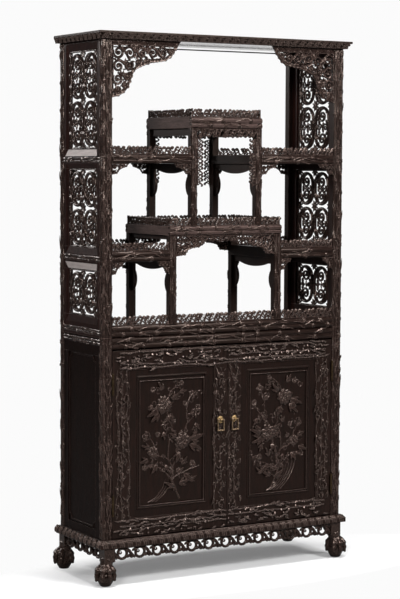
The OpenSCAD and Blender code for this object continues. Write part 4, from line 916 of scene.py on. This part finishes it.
# %% Pierced leafwork
def volutes(piece, wide, tall, hubs, flip, thick):
    """Volutes given by their middle and radius, with short stems from one to the next."""
    for i, (share_u, share_v, share_r) in enumerate(hubs):
        u, v, radius = flip * share_u * wide, -share_v * tall, share_r * tall
        way, start = (1, -1)[i % 2], chance.uniform(0, math.tau)
        stem(piece, curl((u, v), start, radius, radius * 0.14, way * 1.62, 24), taper(thick, thick * 0.7, 24), 8)
        put_bud(piece, (u, v), thick * 2.1)
        for k in range(4):
            angle = start + math.tau * k / 4
            put_leaf(piece, around((u, v), radius, angle), angle + way * 1.05, radius * 0.85, 0.42, 0.0006)
        for next_u, next_v, next_r in hubs[i + 1:i + 2]:
            end = (flip * next_u * wide, -(next_v + next_r) * tall)
            bend = ((u + end[0]) / 2 + flip * radius * 0.3, (v + end[1]) / 2 + radius * 0.5)
            if abs(end[0] - u) < 0.24 * wide and abs(end[1] - v) < 0.3 * tall:
                stem(piece, raised(spine([(u, v + radius), bend, end], 7), 0.001), thick * 0.8)


def leafy_edge(piece, wide, tall, outline, flip, thick, step):
    """A stem along the free edge of a board, with leaves and scallops that run along it."""
    points = [Vector((flip * u * wide, -v * tall)) for u, v in outline]
    stem(piece, points, thick)
    for first, last in zip(points, points[1:]):
        run = last - first
        angle, count = math.atan2(run.y, run.x), max(1, round(run.length / step))
        outward = Vector((flip * abs(run.y), abs(run.x))).normalized() * step * 0.1
        for k in range(count):
            foot = first + run * (k / count)
            put_leaf(piece, foot, angle + flip * 0.45, step * 1.25, 0.5, 0.001)
            stem(piece, curl(foot + outward, angle, step * 0.42, step * 0.2, flip * 0.9, 9), thick * 0.7)


def leafwork(wide, tall, hubs, edge, flip, thick, edge_thick, step, bar, post_bar, post_in, post_tall):
    """A whole corner of pierced leafwork as a drawing; flip is -1 where the post is on its right."""
    drawing = bmesh.new()
    volutes(drawing, wide, tall, hubs, flip, thick)
    leafy_edge(drawing, wide, tall, edge, flip, edge_thick, step)
    stem(drawing, [(0, -0.002, 0), (flip * wide, -0.002, 0)], bar)
    stem(drawing, [(flip * post_in, 0, 0), (flip * post_in, -post_tall, 0)], post_bar)
    return drawing


# %% The spandrels under the top
spandrel_wide, spandrel_tall, spandrel_top = 0.276, 0.193, 2.005
corner_hubs = [(0.1, 0.15, 0.13), (0.27, 0.17, 0.14), (0.45, 0.16, 0.13), (0.62, 0.15, 0.12), (0.77, 0.14, 0.11),
               (0.895, 0.1, 0.07), (0.1, 0.42, 0.13), (0.25, 0.4, 0.1), (0.09, 0.66, 0.12), (0.22, 0.6, 0.085),
               (0.085, 0.86, 0.085), (0.4, 0.33, 0.07), (0.185, 0.78, 0.065), (0.53, 0.3, 0.055),
               (0.35, 0.08, 0.06), (0.54, 0.07, 0.06)]
corner_edge = [(0.01, 0.985), (0.09, 0.965), (0.17, 0.9), (0.235, 0.8), (0.265, 0.7), (0.29, 0.6), (0.32, 0.5),
               (0.38, 0.43), (0.48, 0.37), (0.58, 0.32), (0.68, 0.3), (0.81, 0.27), (0.88, 0.21), (0.965, 0.06),
               (0.99, 0.01)]
strip_outline = ((0, -0.001), (0.275, -0.001), (0.2921, 0.0229), (0, 0.0229))
for side, flip in (("left", 1), ("right", -1)):
    bm, place = bmesh.new(), facing("front", pierced_face, -flip * inner_x, spandrel_top)
    stand(bm, leafwork(spandrel_wide, spandrel_tall, corner_hubs, corner_edge, flip, 0.0055, 0.0046, 0.018,
                       0.0036, 0.0036, 0.003, 0.19), place, 1.3)
    strip = plate([(flip * u, v, -0.006) for u, v in strip_outline], (0, 0, 0.012))
    bmesh.ops.bevel(strip, geom=strip.edges[:], offset=0.0008, offset_type="OFFSET", segments=2, profile=0.5,
                    affect="EDGES", material=-1)
    stand(bm, strip, place)
    finish_piece(f"{side}_spandrel_leaves", bm, carved_wood, "case", "carved_hardwood", f"{side}_spandrel")

# %% Brackets under the side shelves
bracket_hubs = [(0.18, 0.34, 0.24), (0.46, 0.27, 0.2), (0.72, 0.2, 0.15), (0.17, 0.76, 0.15)]
bracket_edge = [(0.02, 0.97), (0.28, 0.9), (0.42, 0.6), (0.6, 0.42), (0.86, 0.28), (0.98, 0.03)]
bracket_sizes = ((0.070, 0.041, high_under, crown_x), (0.048, 0.046, low_under, mid_x))
bm = bmesh.new()
for side in ("front", "back"):
    for wide, tall, top, post in bracket_sizes:
        for corner, flip in ((-inner_x, 1), (-post, -1), (post, 1), (inner_x, -1)):
            stand(bm, leafwork(wide, tall, bracket_hubs, bracket_edge, flip, 0.0031, 0.0022, 0.01,
                               0.0026, 0.0024, 0.002, tall * 0.96),
                  facing(side, pierced_face, corner, top), 2.0)
finish_piece("shelf_bracket_leaves", bm, carved_wood, "case", "carved_hardwood", "side_brackets")

# %% [markdown]
# ## The arch and the middle aprons
# Under the crown shelf hangs a run of the same vine as on the galleries, upside down, with a leg of it down each
# inner post. Under the middle shelf a shorter run joins two lobed corners of leafwork. Front and back are cut alike.

# %% The arch under the crown shelf
upside_down = Matrix.Rotation(math.pi, 4, "Z")
leg_long, leg_wide, arch_tall, arch_foot = 0.177, 0.033, 0.040, 1.488
bm = bmesh.new()
for side in ("front", "back"):
    vine_run(bm, facing(side, pierced_face, arch_x, crown_under) @ upside_down, 2 * arch_x, arch_tall, 0.003, False)
    for corner, quarter, foot in ((-arch_x, -math.pi / 2, crown_under - 0.038), (arch_x, math.pi / 2, arch_foot)):
        place = facing(side, pierced_face, corner, foot) @ Matrix.Rotation(quarter, 4, "Z")
        vine_run(bm, place, leg_long, leg_wide, 0.0034, False)
finish_piece("arch_leaves", bm, carved_wood, "case", "carved_hardwood", "crown_arch")

# %% The aprons under the middle shelf
apron_wide, apron_tall = 0.125, 0.078
apron_hubs = [(0.13, 0.25, 0.2), (0.36, 0.25, 0.2), (0.57, 0.24, 0.17), (0.76, 0.23, 0.16), (0.92, 0.2, 0.13),
              (0.12, 0.63, 0.17), (0.31, 0.6, 0.15), (0.12, 0.86, 0.1), (0.26, 0.83, 0.1), (0.46, 0.53, 0.11),
              (0.62, 0.49, 0.1), (0.77, 0.46, 0.1), (0.91, 0.37, 0.08)]
apron_edge = [(0.02, 0.97), (0.3, 0.92), (0.42, 0.66), (0.62, 0.58), (0.8, 0.54), (0.9, 0.46), (0.98, 0.38)]
between = bay_x - apron_wide
bm = bmesh.new()
for side in ("front", "back"):
    vine_run(bm, facing(side, pierced_face, between, mid_under) @ upside_down, 2 * between, 0.030, 0.003, False)
    for flip in (-1, 1):
        stand(bm, leafwork(apron_wide, apron_tall, apron_hubs, apron_edge, flip, 0.0041, 0.0028, 0.012,
                           0.003, 0.003, 0.002, 0.076),
              facing(side, pierced_face, -flip * bay_x, mid_under), 1.7)
finish_piece("mid_apron_leaves", bm, carved_wood, "case", "carved_hardwood", "mid_aprons")

# %% [markdown]
# ## Running scrolls under the plinth
# The apron between the feet is a row of scrolls. Each turns round an open eye with a smaller curl inside, a strap
# slants to the next one, and small leaves and curls fill the gaps. Its lower edge is the row of rings itself.

# %% The apron scrolls
def scrolls(drawing, length, height, count):
    """A row of scrolls that hangs from v = 0, drawn from u = 0."""
    pitch, reach = length / count, height * 0.37
    for i in range(count):
        u, v = (i + 0.5) * pitch, -height * 0.5
        stem(drawing, curl((u, v), math.radians(150), reach, reach * 0.92, -1.02, 22), 0.0054, 8)
        stem(drawing, curl((u - reach * 0.34, v + reach * 0.3), math.radians(160), reach * 0.36, reach * 0.1, 0.8, 12),
             taper(0.0036, 0.0022, 12), 8)
        put_leaf(drawing, (u + reach * 0.5, v + reach * 0.85), math.radians(-25), 0.018, 0.6, 0.001)
    for i in range(count + 1):
        u = min(max(i * pitch, 0.01), length - 0.01)
        stem(drawing, [(u - 0.019, -height * 0.16, 0), (u - 0.008, -height * 0.34, 0.001),
                       (u + 0.003, -height * 0.62, 0.001), (u + 0.016, -height * 0.8, 0)],
             [0.0052, 0.0066, 0.0064, 0.0048], 8)
        put_leaf(drawing, (u + 0.002, -height * 0.36), math.radians(40), 0.022, 0.55, 0.002)
        put_leaf(drawing, (u - 0.004, -height * 0.56), math.radians(215), 0.022, 0.6, 0.002)
        stem(drawing, curl((u + 0.001, -height * 0.68), math.radians(20), 0.0095, 0.003, -0.8, 10),
             taper(0.0042, 0.0026, 10), 8)
    stem(drawing, [(0, -0.004, 0), (length, -0.004, 0)], 0.0042)


skirt_top, skirt_tall = 0.143, 0.054
bm = bmesh.new()
for side, depth, half, count in (("front", 0.1785, 0.4895, 13), ("left", 0.5185, 0.1495, 4),
                                 ("right", 0.5185, 0.1495, 4)):
    drawing = bmesh.new()
    scrolls(drawing, 2 * half, skirt_tall, count)
    stand(bm, drawing, facing(side, depth, -half, skirt_top), 1.2)
finish_piece("skirt_scrolls", bm, carved_wood, "case", "carved_hardwood", "skirts")

# %% [markdown]
# ## Slanted leaves on the mouldings
# The cornice and the plinth moulding are cut with a repeat of three slanted leaves and a bud. Each leaf follows the
# hollow of the moulding, so its path is given in up and out instead of across.

# %% The moulding repeat
def leaf_moulding(piece, side, depth, up, half, profile, slant, thick, pitch=0.034):
    """Cut slanted leaves along a moulding whose profile is a list of (up, out) points."""
    drawing = bmesh.new()
    count, steps = round(2 * half / pitch), len(profile) - 1
    for i in range(count):
        foot = -half + (i + 0.5) * 2 * half / count
        for k in range(3):
            u = foot + (k - 1.6) * 0.24 * pitch
            path = [(u + slant * j / steps, v, w) for j, (v, w) in enumerate(profile)]
            stem(drawing, path, [thick * (0.45 + 0.75 * math.sin(math.pi * (0.15 + 0.75 * j / steps)))
                                 for j in range(steps + 1)])
        v, w = profile[len(profile) // 2]
        put_bud(drawing, (foot + 0.34 * pitch + slant / 2, v), thick * 3, w + thick * 0.4)
    stand(piece, drawing, facing(side, depth, 0, up))


cove = spine([(0.001, 0.0118), (0.008, 0.014), (0.014, 0.0182), (0.019, 0.0228), (0.0255, 0.0246)], 7)
foot_cove = spine([(0.0282, 0.0082), (0.0235, 0.0105), (0.0185, 0.0175), (0.013, 0.0203), (0.003, 0.0205)], 7)
for name, up, past, profile, slant, thick in (("cornice_leaves", 2.022, 0.014, cove, 0.012, 0.0031),
                                              ("plinth_leaves", 0.143, 0.016, foot_cove, 0.006, 0.003)):
    bm = bmesh.new()
    for side, depth, half in (("front", half_depth, half_width), ("left", half_width, half_depth),
                              ("right", half_width, half_depth)):
        leaf_moulding(bm, side, depth, up, half + past, profile, slant, thick)
    finish_piece(name, bm, moulding_wood, "case", "carved_hardwood")

# %% [markdown]
# ## Branches on the door frames
# The door frames are cut as bundles of rough branches: five and four thick ones on the rails, three thin ones on
# each stile, with knots, twigs and leaves that cross from one to the next. They stay clear of the hinge edge, so
# that the doors can open past the posts. On the stiles they also stay clear of the edge where the doors meet.

# %% Rough branches
def branches(piece, low, high, count, stands, thick, wobble):
    """Rough parallel branches that fill a rectangle of a face."""
    length, wide = (high[1] - low[1], high[0] - low[0]) if stands else (high[0] - low[0], high[1] - low[1])
    for i in range(count):
        middle = thick + i * (wide - 2 * thick) / (count - 1)
        path, radii, place, drift = [], [], 0.0, 0.0
        while place < length:
            drift = max(-1, min(1, drift + chance.uniform(-0.8, 0.8)))
            knot = chance.random() < 0.3
            bumps = ((-0.004, 1.0), (0, 1.55), (0.004, 1.0)) if knot else ((0, chance.uniform(0.75, 1.05)),)
            for shift, swell in bumps:
                path.append(on_band(low, min(max(place + shift, 0.0), length), middle + drift * wobble, stands))
                radii.append(thick * swell)
            if knot:
                put_bud(piece, path[-2], thick * 2.4, thick * 0.7)
            if chance.random() < 0.5:
                way = (math.pi / 2 if stands else 0) + chance.choice((0, math.pi)) + chance.uniform(-0.45, 0.45)
                put_leaf(piece, path[-1], way, chance.uniform(0.018, 0.034), 0.26, thick * 0.75, 0.04)
            place += chance.uniform(0.018, 0.034)
        stem(piece, path + [on_band(low, length, middle, stands)], radii + [thick * 0.8])
        for _ in range(int(length / (0.075 if stands else 0.2))):
            along, across = chance.uniform(0.03, length - 0.03), middle + chance.uniform(-0.3, 0.3) * wide / count
            start, turns = chance.uniform(0, math.tau), chance.choice((-0.9, 0.9))
            hub = on_band(low, along, across, stands)
            stem(piece, raised(curl(hub, start, 0.0085, 0.0025, turns, 9), thick * 0.5),
                 taper(thick * 0.6, thick * 0.35, 9))


# %% Small leaves over them
def rail_growth(piece, x0, x1, rail):
    """Buds and long leaves, spread at random over a rail."""
    for _ in range(20):
        u, v = chance.uniform(x0, x1), rail + chance.uniform(0.006, 0.056)
        put_bud(piece, (u, v), chance.uniform(0.0045, 0.0065), 0.004)
        put_leaf(piece, (u, v), chance.choice((0, math.pi)) + chance.uniform(-0.5, 0.5), 0.026, 0.3, 0.003, 0.12)


def rail_glints(piece, x0, x1, rail, tall, count):
    """Small flat leaves that lean back a little, as the polished knife cuts that glint in the light."""
    for k in range(count):
        spot = (x0 + (x1 - x0) * (k + glints.uniform(0, 1)) / count, rail + glints.uniform(0.008, tall))
        long, way = glints.uniform(0.006, 0.009), math.radians(glints.uniform(-86, -70))
        put_leaf(piece, spot, way, long, 0.8, 0.0052, glints.uniform(0.26, 0.34), rise=0.07)


def stile_growth(piece, x0, x1):
    """Short leaves up a stile, with a curl at every fourth."""
    for k in range(64):
        u, v = chance.uniform(x0, x1), 0.25 + 0.545 * (k + chance.uniform(0, 1)) / 64
        way = math.radians(chance.choice((90, 90, -90)) + chance.uniform(-65, 65))
        put_leaf(piece, (u, v), way, chance.uniform(0.013, 0.023), 0.42, chance.uniform(0.0012, 0.0026), 0.1)
        if k % 4 == 0:
            line = curl((u, v), way, 0.009, 0.0024, chance.choice((-0.75, 0.75)), 9)
            stem(piece, raised(line, 0.002), taper(0.0019, 0.001, 9))


# %% The carved door frames
door_face, glints = 0.1745, random.Random(3)
top_rail, foot_rail, stile_foot, stile_head = (0.806, 0.873), (0.181, 0.241), 0.243, 0.804
clear_of_hinge, clear_of_gap, short_of_corner = 0.014, 0.006, 0.055
doors = (("left", -0.4905, 0.006, 0.072, 0.060), ("right", 0.008, 0.4905, 0.060, 0.072))
for side, x0, x1, stile0, stile1 in doors:
    hinge0, hinge1 = (clear_of_hinge, 0) if side == "left" else (0, clear_of_hinge)
    gap0, gap1 = (0, clear_of_gap) if side == "left" else (clear_of_gap, 0)
    inner0, inner1 = x0 + short_of_corner, x1 - short_of_corner
    drawing = bmesh.new()
    for (foot, head), count, wobble in ((top_rail, 5, 0.0035), (foot_rail, 4, 0.004)):
        branches(drawing, (x0 + 0.004 + hinge0 * 1.8, foot), (x1 - 0.004 - hinge1 * 1.8, head), count, False,
                 0.0045, wobble)
    for foot, _ in (top_rail, foot_rail):
        rail_growth(drawing, inner0, inner1, foot)
    for (foot, _), tall, count in ((top_rail, 0.06, 24), (foot_rail, 0.054, 14)):
        rail_glints(drawing, inner0, inner1, foot, tall, count)
    bm = bmesh.new()
    stand(bm, drawing, facing("front", door_face - 0.0012), 1.25)
    # The rails take the paler copy: painted highlight.
    finish_piece(f"{side}_door_rail_branches", bm, glinting_wood, f"{side}_door", "carved_hardwood")
    bm, drawing = bmesh.new(), bmesh.new()
    stiles = ((x0 + hinge0 + gap0, x0 + stile0), (x1 - stile1, x1 - hinge1 - gap1))
    for a, b in stiles:
        branches(drawing, (a + 0.003, stile_foot), (b - 0.003, stile_head), 3, True, 0.0027, 0.0075)
    for a, b in stiles:
        stile_growth(drawing, a + 0.006, b - 0.006)
    stand(bm, drawing, facing("front", door_face - 0.0014), 0.95)
    # The stiles take the darker copy: painted shade.
    finish_piece(f"{side}_door_branches", bm, shaded_wood, f"{side}_door", "carved_hardwood")

# %% [markdown]
# ## Blossoms on the door panels
# A branch rises across each field, with two full blossoms, smaller ones, buds, leaves and blades of grass. The
# layout is my own, in shares of the field, and the right door has it mirrored. The branches, blossoms, lobed leaves
# and grass have set places. Small leaves, sprays and curls are scattered by chance.

# %% A full blossom
def blossom(piece, middle, size, rings):
    """A many petalled flower: rings of broad petals that rise towards its heart."""
    for ring_no in range(rings):
        count, reach = 10 - 2 * ring_no, size * (1 - 0.27 * ring_no)
        shift = chance.uniform(0, 1)
        for k in range(count):
            angle = math.tau * (k + shift) / count + chance.uniform(-0.12, 0.12)
            put_leaf(piece, around(middle, reach * 0.2, angle), angle + chance.uniform(-0.2, 0.2),
                     reach * chance.uniform(0.62, 0.8), 0.78, 0.0004 + 0.0014 * ring_no, 0.05 + 0.1 * ring_no, petal)
    for k in range(5):
        put_bud(piece, around(middle, size * 0.1, math.tau * k / 5), size * 0.16, 0.0045)


def spray(piece, point, angle, length):
    """A leaf of three lobes."""
    for turn, share in ((-0.55, 0.72), (0, 1), (0.5, 0.7)):
        put_leaf(piece, point, angle + turn, length * share, 0.36, 0.0008, 0.07)


# %% Where they grow
boughs = (((0.63, 0.02), (0.57, 0.1), (0.5, 0.19), (0.52, 0.28), (0.44, 0.36), (0.3, 0.38), (0.2, 0.42)),
          ((0.52, 0.28), (0.58, 0.38), (0.6, 0.46), (0.7, 0.56), (0.76, 0.64), (0.88, 0.7), (0.93, 0.75)),
          ((0.44, 0.36), (0.46, 0.5), (0.52, 0.6), (0.45, 0.7), (0.4, 0.8), (0.47, 0.9), (0.6, 0.96)),
          ((0.5, 0.19), (0.62, 0.22), (0.76, 0.25), (0.95, 0.28)),
          ((0.3, 0.38), (0.2, 0.5), (0.12, 0.57)),
          ((0.76, 0.64), (0.74, 0.76), (0.82, 0.88)),
          ((0.5, 0.19), (0.36, 0.27), (0.2, 0.32), (0.06, 0.3)))
bough_thick = (0.0042, 0.0036, 0.0034, 0.003, 0.0026, 0.0026, 0.0028)
flowers = ((0.38, 0.8, 0.041, 3), (0.68, 0.5, 0.041, 3), (0.2, 0.42, 0.027, 2), (0.93, 0.76, 0.016, 1),
           (0.53, 0.66, 0.014, 1), (0.83, 0.88, 0.015, 1), (0.72, 0.8, 0.013, 1), (0.2, 0.93, 0.015, 1),
           (0.1, 0.57, 0.014, 1), (0.28, 0.56, 0.013, 1), (0.66, 0.97, 0.013, 1), (0.84, 0.3, 0.017, 2),
           (0.5, 0.25, 0.013, 1), (0.06, 0.3, 0.012, 1))
lobed_leaves = ((0.28, 0.77, 205, 0.06), (0.3, 0.74, 225, 0.055), (0.5, 0.84, 40, 0.05), (0.45, 0.72, -60, 0.045),
                (0.8, 0.5, 10, 0.062), (0.79, 0.46, -12, 0.055), (0.62, 0.41, -110, 0.05), (0.58, 0.53, 150, 0.04),
                (0.13, 0.36, 190, 0.045), (0.15, 0.46, 160, 0.04), (0.26, 0.32, -120, 0.045),
                (0.4, 0.31, -70, 0.035), (0.7, 0.22, -35, 0.045), (0.62, 0.14, 20, 0.05), (0.78, 0.16, 30, 0.04),
                (0.55, 0.12, 150, 0.05), (0.88, 0.63, -50, 0.035), (0.35, 0.92, 120, 0.04), (0.62, 0.9, 10, 0.035),
                (0.66, 0.3, 60, 0.04))
print("boughs", len(boughs), "blossoms", len(flowers), "lobed leaves", len(lobed_leaves))


# %% One branch with its twigs
def bough(piece, line, thick, at):
    """A rough branch along a line of shares, with leaves, curled twigs and buds."""
    path = [at(*p) for p in spine(line, 3 * len(line))]
    rough = [(u + chance.uniform(-0.0012, 0.0012), v + chance.uniform(-0.0012, 0.0012), 0) for u, v in path]
    stem(piece, rough, [thick * chance.uniform(0.75, 1.2) * (1 - 0.4 * i / len(path)) for i in range(len(path))])
    for p in path[2::2]:
        if chance.random() < 0.75:
            angle = chance.uniform(0, math.tau)
            put_leaf(piece, p, angle, chance.uniform(0.014, 0.024), 0.45, 0.0008, 0.1)
        if chance.random() < 0.75:
            angle = chance.uniform(0, math.tau)
            hub = around(p, 0.014, angle)
            stem(piece, curl(hub, angle + math.pi, 0.012, 0.003, chance.choice((-0.8, 0.8)), 9),
                 taper(0.0017, 0.0009, 9))
            put_bud(piece, hub, 0.0048, 0.001)


def undergrowth(piece, at):
    """Small sprays and curls, scattered over the field."""
    for i in range(4):
        for j in range(7):
            if chance.random() < 0.62:
                u, v = 0.14 + 0.24 * i + chance.uniform(-0.07, 0.07), 0.2 + 0.115 * j + chance.uniform(-0.04, 0.04)
                if chance.random() < 0.4:
                    spray(piece, at(u, v), chance.uniform(0, math.tau), chance.uniform(0.024, 0.036))
                for _ in range(3):
                    hub = at(u + chance.uniform(-0.07, 0.07), v + chance.uniform(-0.035, 0.035))
                    line = curl(hub, chance.uniform(0, math.tau), chance.uniform(0.009, 0.015), 0.0026,
                                chance.choice((-0.7, 0.7)), 9)
                    stem(piece, raised(line, 0.001), taper(0.0021, 0.001, 9))


# %% A whole flower panel
def flower_panel(piece, low, high, flip):
    """Draw the branch with its flowers in a field; flip mirrors it."""
    wide, tall = high[0] - low[0], high[1] - low[1]

    def at(u, v):
        return (low[0] + wide * (1 - u if flip else u), low[1] + tall * v)

    for line, thick in zip(boughs, bough_thick):
        bough(piece, line, thick, at)
    for u, v, size, rings in flowers:
        blossom(piece, at(u, v), size, rings)
    for u, v, degrees, length in lobed_leaves:
        angle = math.radians(degrees + chance.uniform(-10, 10))
        spray(piece, at(u, v), math.pi - angle if flip else angle, length)
    undergrowth(piece, at)
    blades, first_foot, thick = (5, 0.3, 0.0026) if flip else (3, 0.12, 0.0018)
    for k in range(blades):
        foot = first_foot + 0.06 * k
        blade = [(foot, 0.01), (foot + 0.14, 0.05 + 0.008 * k), (foot + 0.24, 0.12 + 0.012 * k),
                 (foot + 0.29, 0.2 + 0.016 * k)]
        stem(piece, [(low[0] + wide * u, low[1] + tall * v, 0.001) for u, v in spine(blade, 11)],
             taper(thick, 0.0009, 11))


field_foot, field_head, bead_face = 0.288, 0.759, 0.1742
for side, x0, x1 in (("left", -0.3755, -0.097), ("right", 0.111, 0.3755)):
    drawing, bm = bmesh.new(), bmesh.new()
    flower_panel(drawing, (x0 + 0.005, 0.292), (x1 - 0.005, 0.755), side == "right")
    stand(bm, drawing, facing("front", 0.1675))
    corners = [(x0, field_foot), (x1, field_foot), (x1, field_head), (x0, field_head), (x0, field_foot)]
    drawing = bmesh.new()
    for first, last in zip(corners, corners[1:]):
        stem(drawing, [first, last], 0.0019, 8)
    stand(bm, drawing, facing("front", bead_face))
    finish_piece(f"{side}_door_blossoms", bm, carved_wood, f"{side}_door", "carved_hardwood")

# %% [markdown]
# ## The drop pulls
# Each plate is a low dome inside a beaded rim, with a small rosette. The loop that hangs from it is turned in the
# middle of its bars, where a finger takes it, and has small balls at its corners. Both cover the plain shapes of
# the CAD, and the loop rides on the pull's own body, so it lifts with it.

# %% Domed plates
plate_z, plate_radius, loop_x, loop_foot = 0.592, 0.0125, 0.0128, -0.0416
pull_places = (("left", -0.025), ("right", 0.039))
for side, x in pull_places:
    drawing, bm = bmesh.new(), bmesh.new()
    bmesh.ops.create_uvsphere(drawing, u_segments=32, v_segments=16, radius=plate_radius,
                              matrix=Matrix.Diagonal((1, 1, 0.22, 1)))
    stem(drawing, ring((0, 0), 0.0128, 0.0128, 32), 0.0011, 8)
    for k in range(16):
        put_bud(drawing, around((0, 0), 0.0112, math.tau * k / 16), 0.002, 0.0009)
    for k in range(8):
        angle = math.tau * k / 8
        put_leaf(drawing, around((0, 0), 0.003, angle), angle, 0.0072, 0.45, 0.0016, -0.1, petal)
    stand(bm, drawing, facing("front", 0.1765, x, plate_z))
    finish_piece(f"{side}_plate_boss", bm, plate_brass, f"{side}_door", "brass")

# %% Turned loops
side_bar = [0.0024, 0.003, 0.0024, 0.0024, 0.0029, 0.0036, 0.0029, 0.0024, 0.0024, 0.003, 0.0024]
foot_bar = [0.0024, 0.0024, 0.0031, 0.0024, 0.003, 0.0037, 0.003, 0.0024, 0.0031, 0.0024, 0.0024]
for side, x in pull_places:
    drawing, bm = bmesh.new(), bmesh.new()
    for u in (-loop_x, loop_x):
        stem(drawing, [(u, -0.004 - 0.0034 * k, 0) for k in range(11)], side_bar, 10)
        put_bud(drawing, (u, loop_foot), 0.0078)
        put_bud(drawing, (u, 0), 0.0062)
    stem(drawing, [(-loop_x + loop_x * k / 5, loop_foot, 0) for k in range(11)], foot_bar, 10)
    stand(bm, drawing, facing("front", 0.1825, x, plate_z))
    finish_piece(f"{side}_pull_loop", bm, pull_brass, f"{side}_pull", "brass")

# %% [markdown]
# ## Claw and ball feet
# A clawed paw grips a ball under each square leg. Its parts are set together as rough balls and bars, then
# Remesh melts them into one skin and Smooth softens it, as a carver rounds a roughed out block. The four feet are
# built alike and mirrored to their corners.

# %% Feet
foot_x, foot_y = 0.5195, 0.1735
front_toes, back_toes = (180, 225, 270), (45, 135, 315)
toe = [(0.012, 0.08, 0.009), (0.024, 0.07, 0.0112), (0.0315, 0.06, 0.0114), (0.0335, 0.051, 0.0094),
       (0.0355, 0.042, 0.0106), (0.0355, 0.033, 0.009), (0.038, 0.027, 0.0066), (0.0412, 0.022, 0.0036)]
knuckles = ((0.032, 0.06, 0.0245), (0.035, 0.0415, 0.0215))
feet = bmesh.new()
for sx in (-1, 1):
    for sy in (-1, 1):
        foot = bmesh.new()
        bmesh.ops.create_uvsphere(foot, u_segments=32, v_segments=20, radius=0.0315,
                                  matrix=Matrix.Translation((0, 0, 0.0318)))
        bmesh.ops.create_cone(foot, cap_ends=True, segments=24, radius1=0.0185, radius2=0.026, depth=0.012,
                              matrix=Matrix.Translation((0, 0, 0.0075)))
        stem(foot, [(0, 0, 0.05), (0.001, 0.0005, 0.066), (0.004, 0.0015, 0.084), (0.008, 0.003, 0.1)],
             [0.0265, 0.0238, 0.024, 0.0258], 20)
        bmesh.ops.create_cube(foot, size=1, matrix=Matrix.Translation((0.01, 0.004, 0.1165))
                              @ Matrix.Diagonal((0.045, 0.045, 0.052, 1)))
        for angle in front_toes + back_toes:
            share = 1 if angle in front_toes else 0.93
            ax, ay = math.cos(math.radians(angle)), math.sin(math.radians(angle))
            stem(foot, [(r * ax * share, r * ay * share, z) for r, z, _ in toe], [t for _, _, t in toe], 12)
            for r, z, size in knuckles:
                bmesh.ops.create_icosphere(foot, subdivisions=2, radius=size / 2,
                                           matrix=Matrix.Translation((r * ax * share, r * ay * share, z)))
        bmesh.ops.transform(foot, verts=foot.verts, matrix=Matrix.Translation((sx * foot_x, sy * foot_y, 0))
                            @ Matrix.Diagonal((-sx, -sy, 1, 1)))
        if sx * sy < 0:
            bmesh.ops.reverse_faces(foot, faces=foot.faces)
        add(feet, foot)
paws = finish_piece("claw_and_ball_feet", feet, carved_wood, "case", "carved_hardwood", "claw_feet")
melt = paws.modifiers.new("melt", "REMESH")
melt.mode, melt.voxel_size, melt.use_smooth_shade = "VOXEL", 0.0018, True
soften = paws.modifiers.new("soften", "SMOOTH")
soften.factor, soften.iterations = 0.5, 3
print("paws: 4")
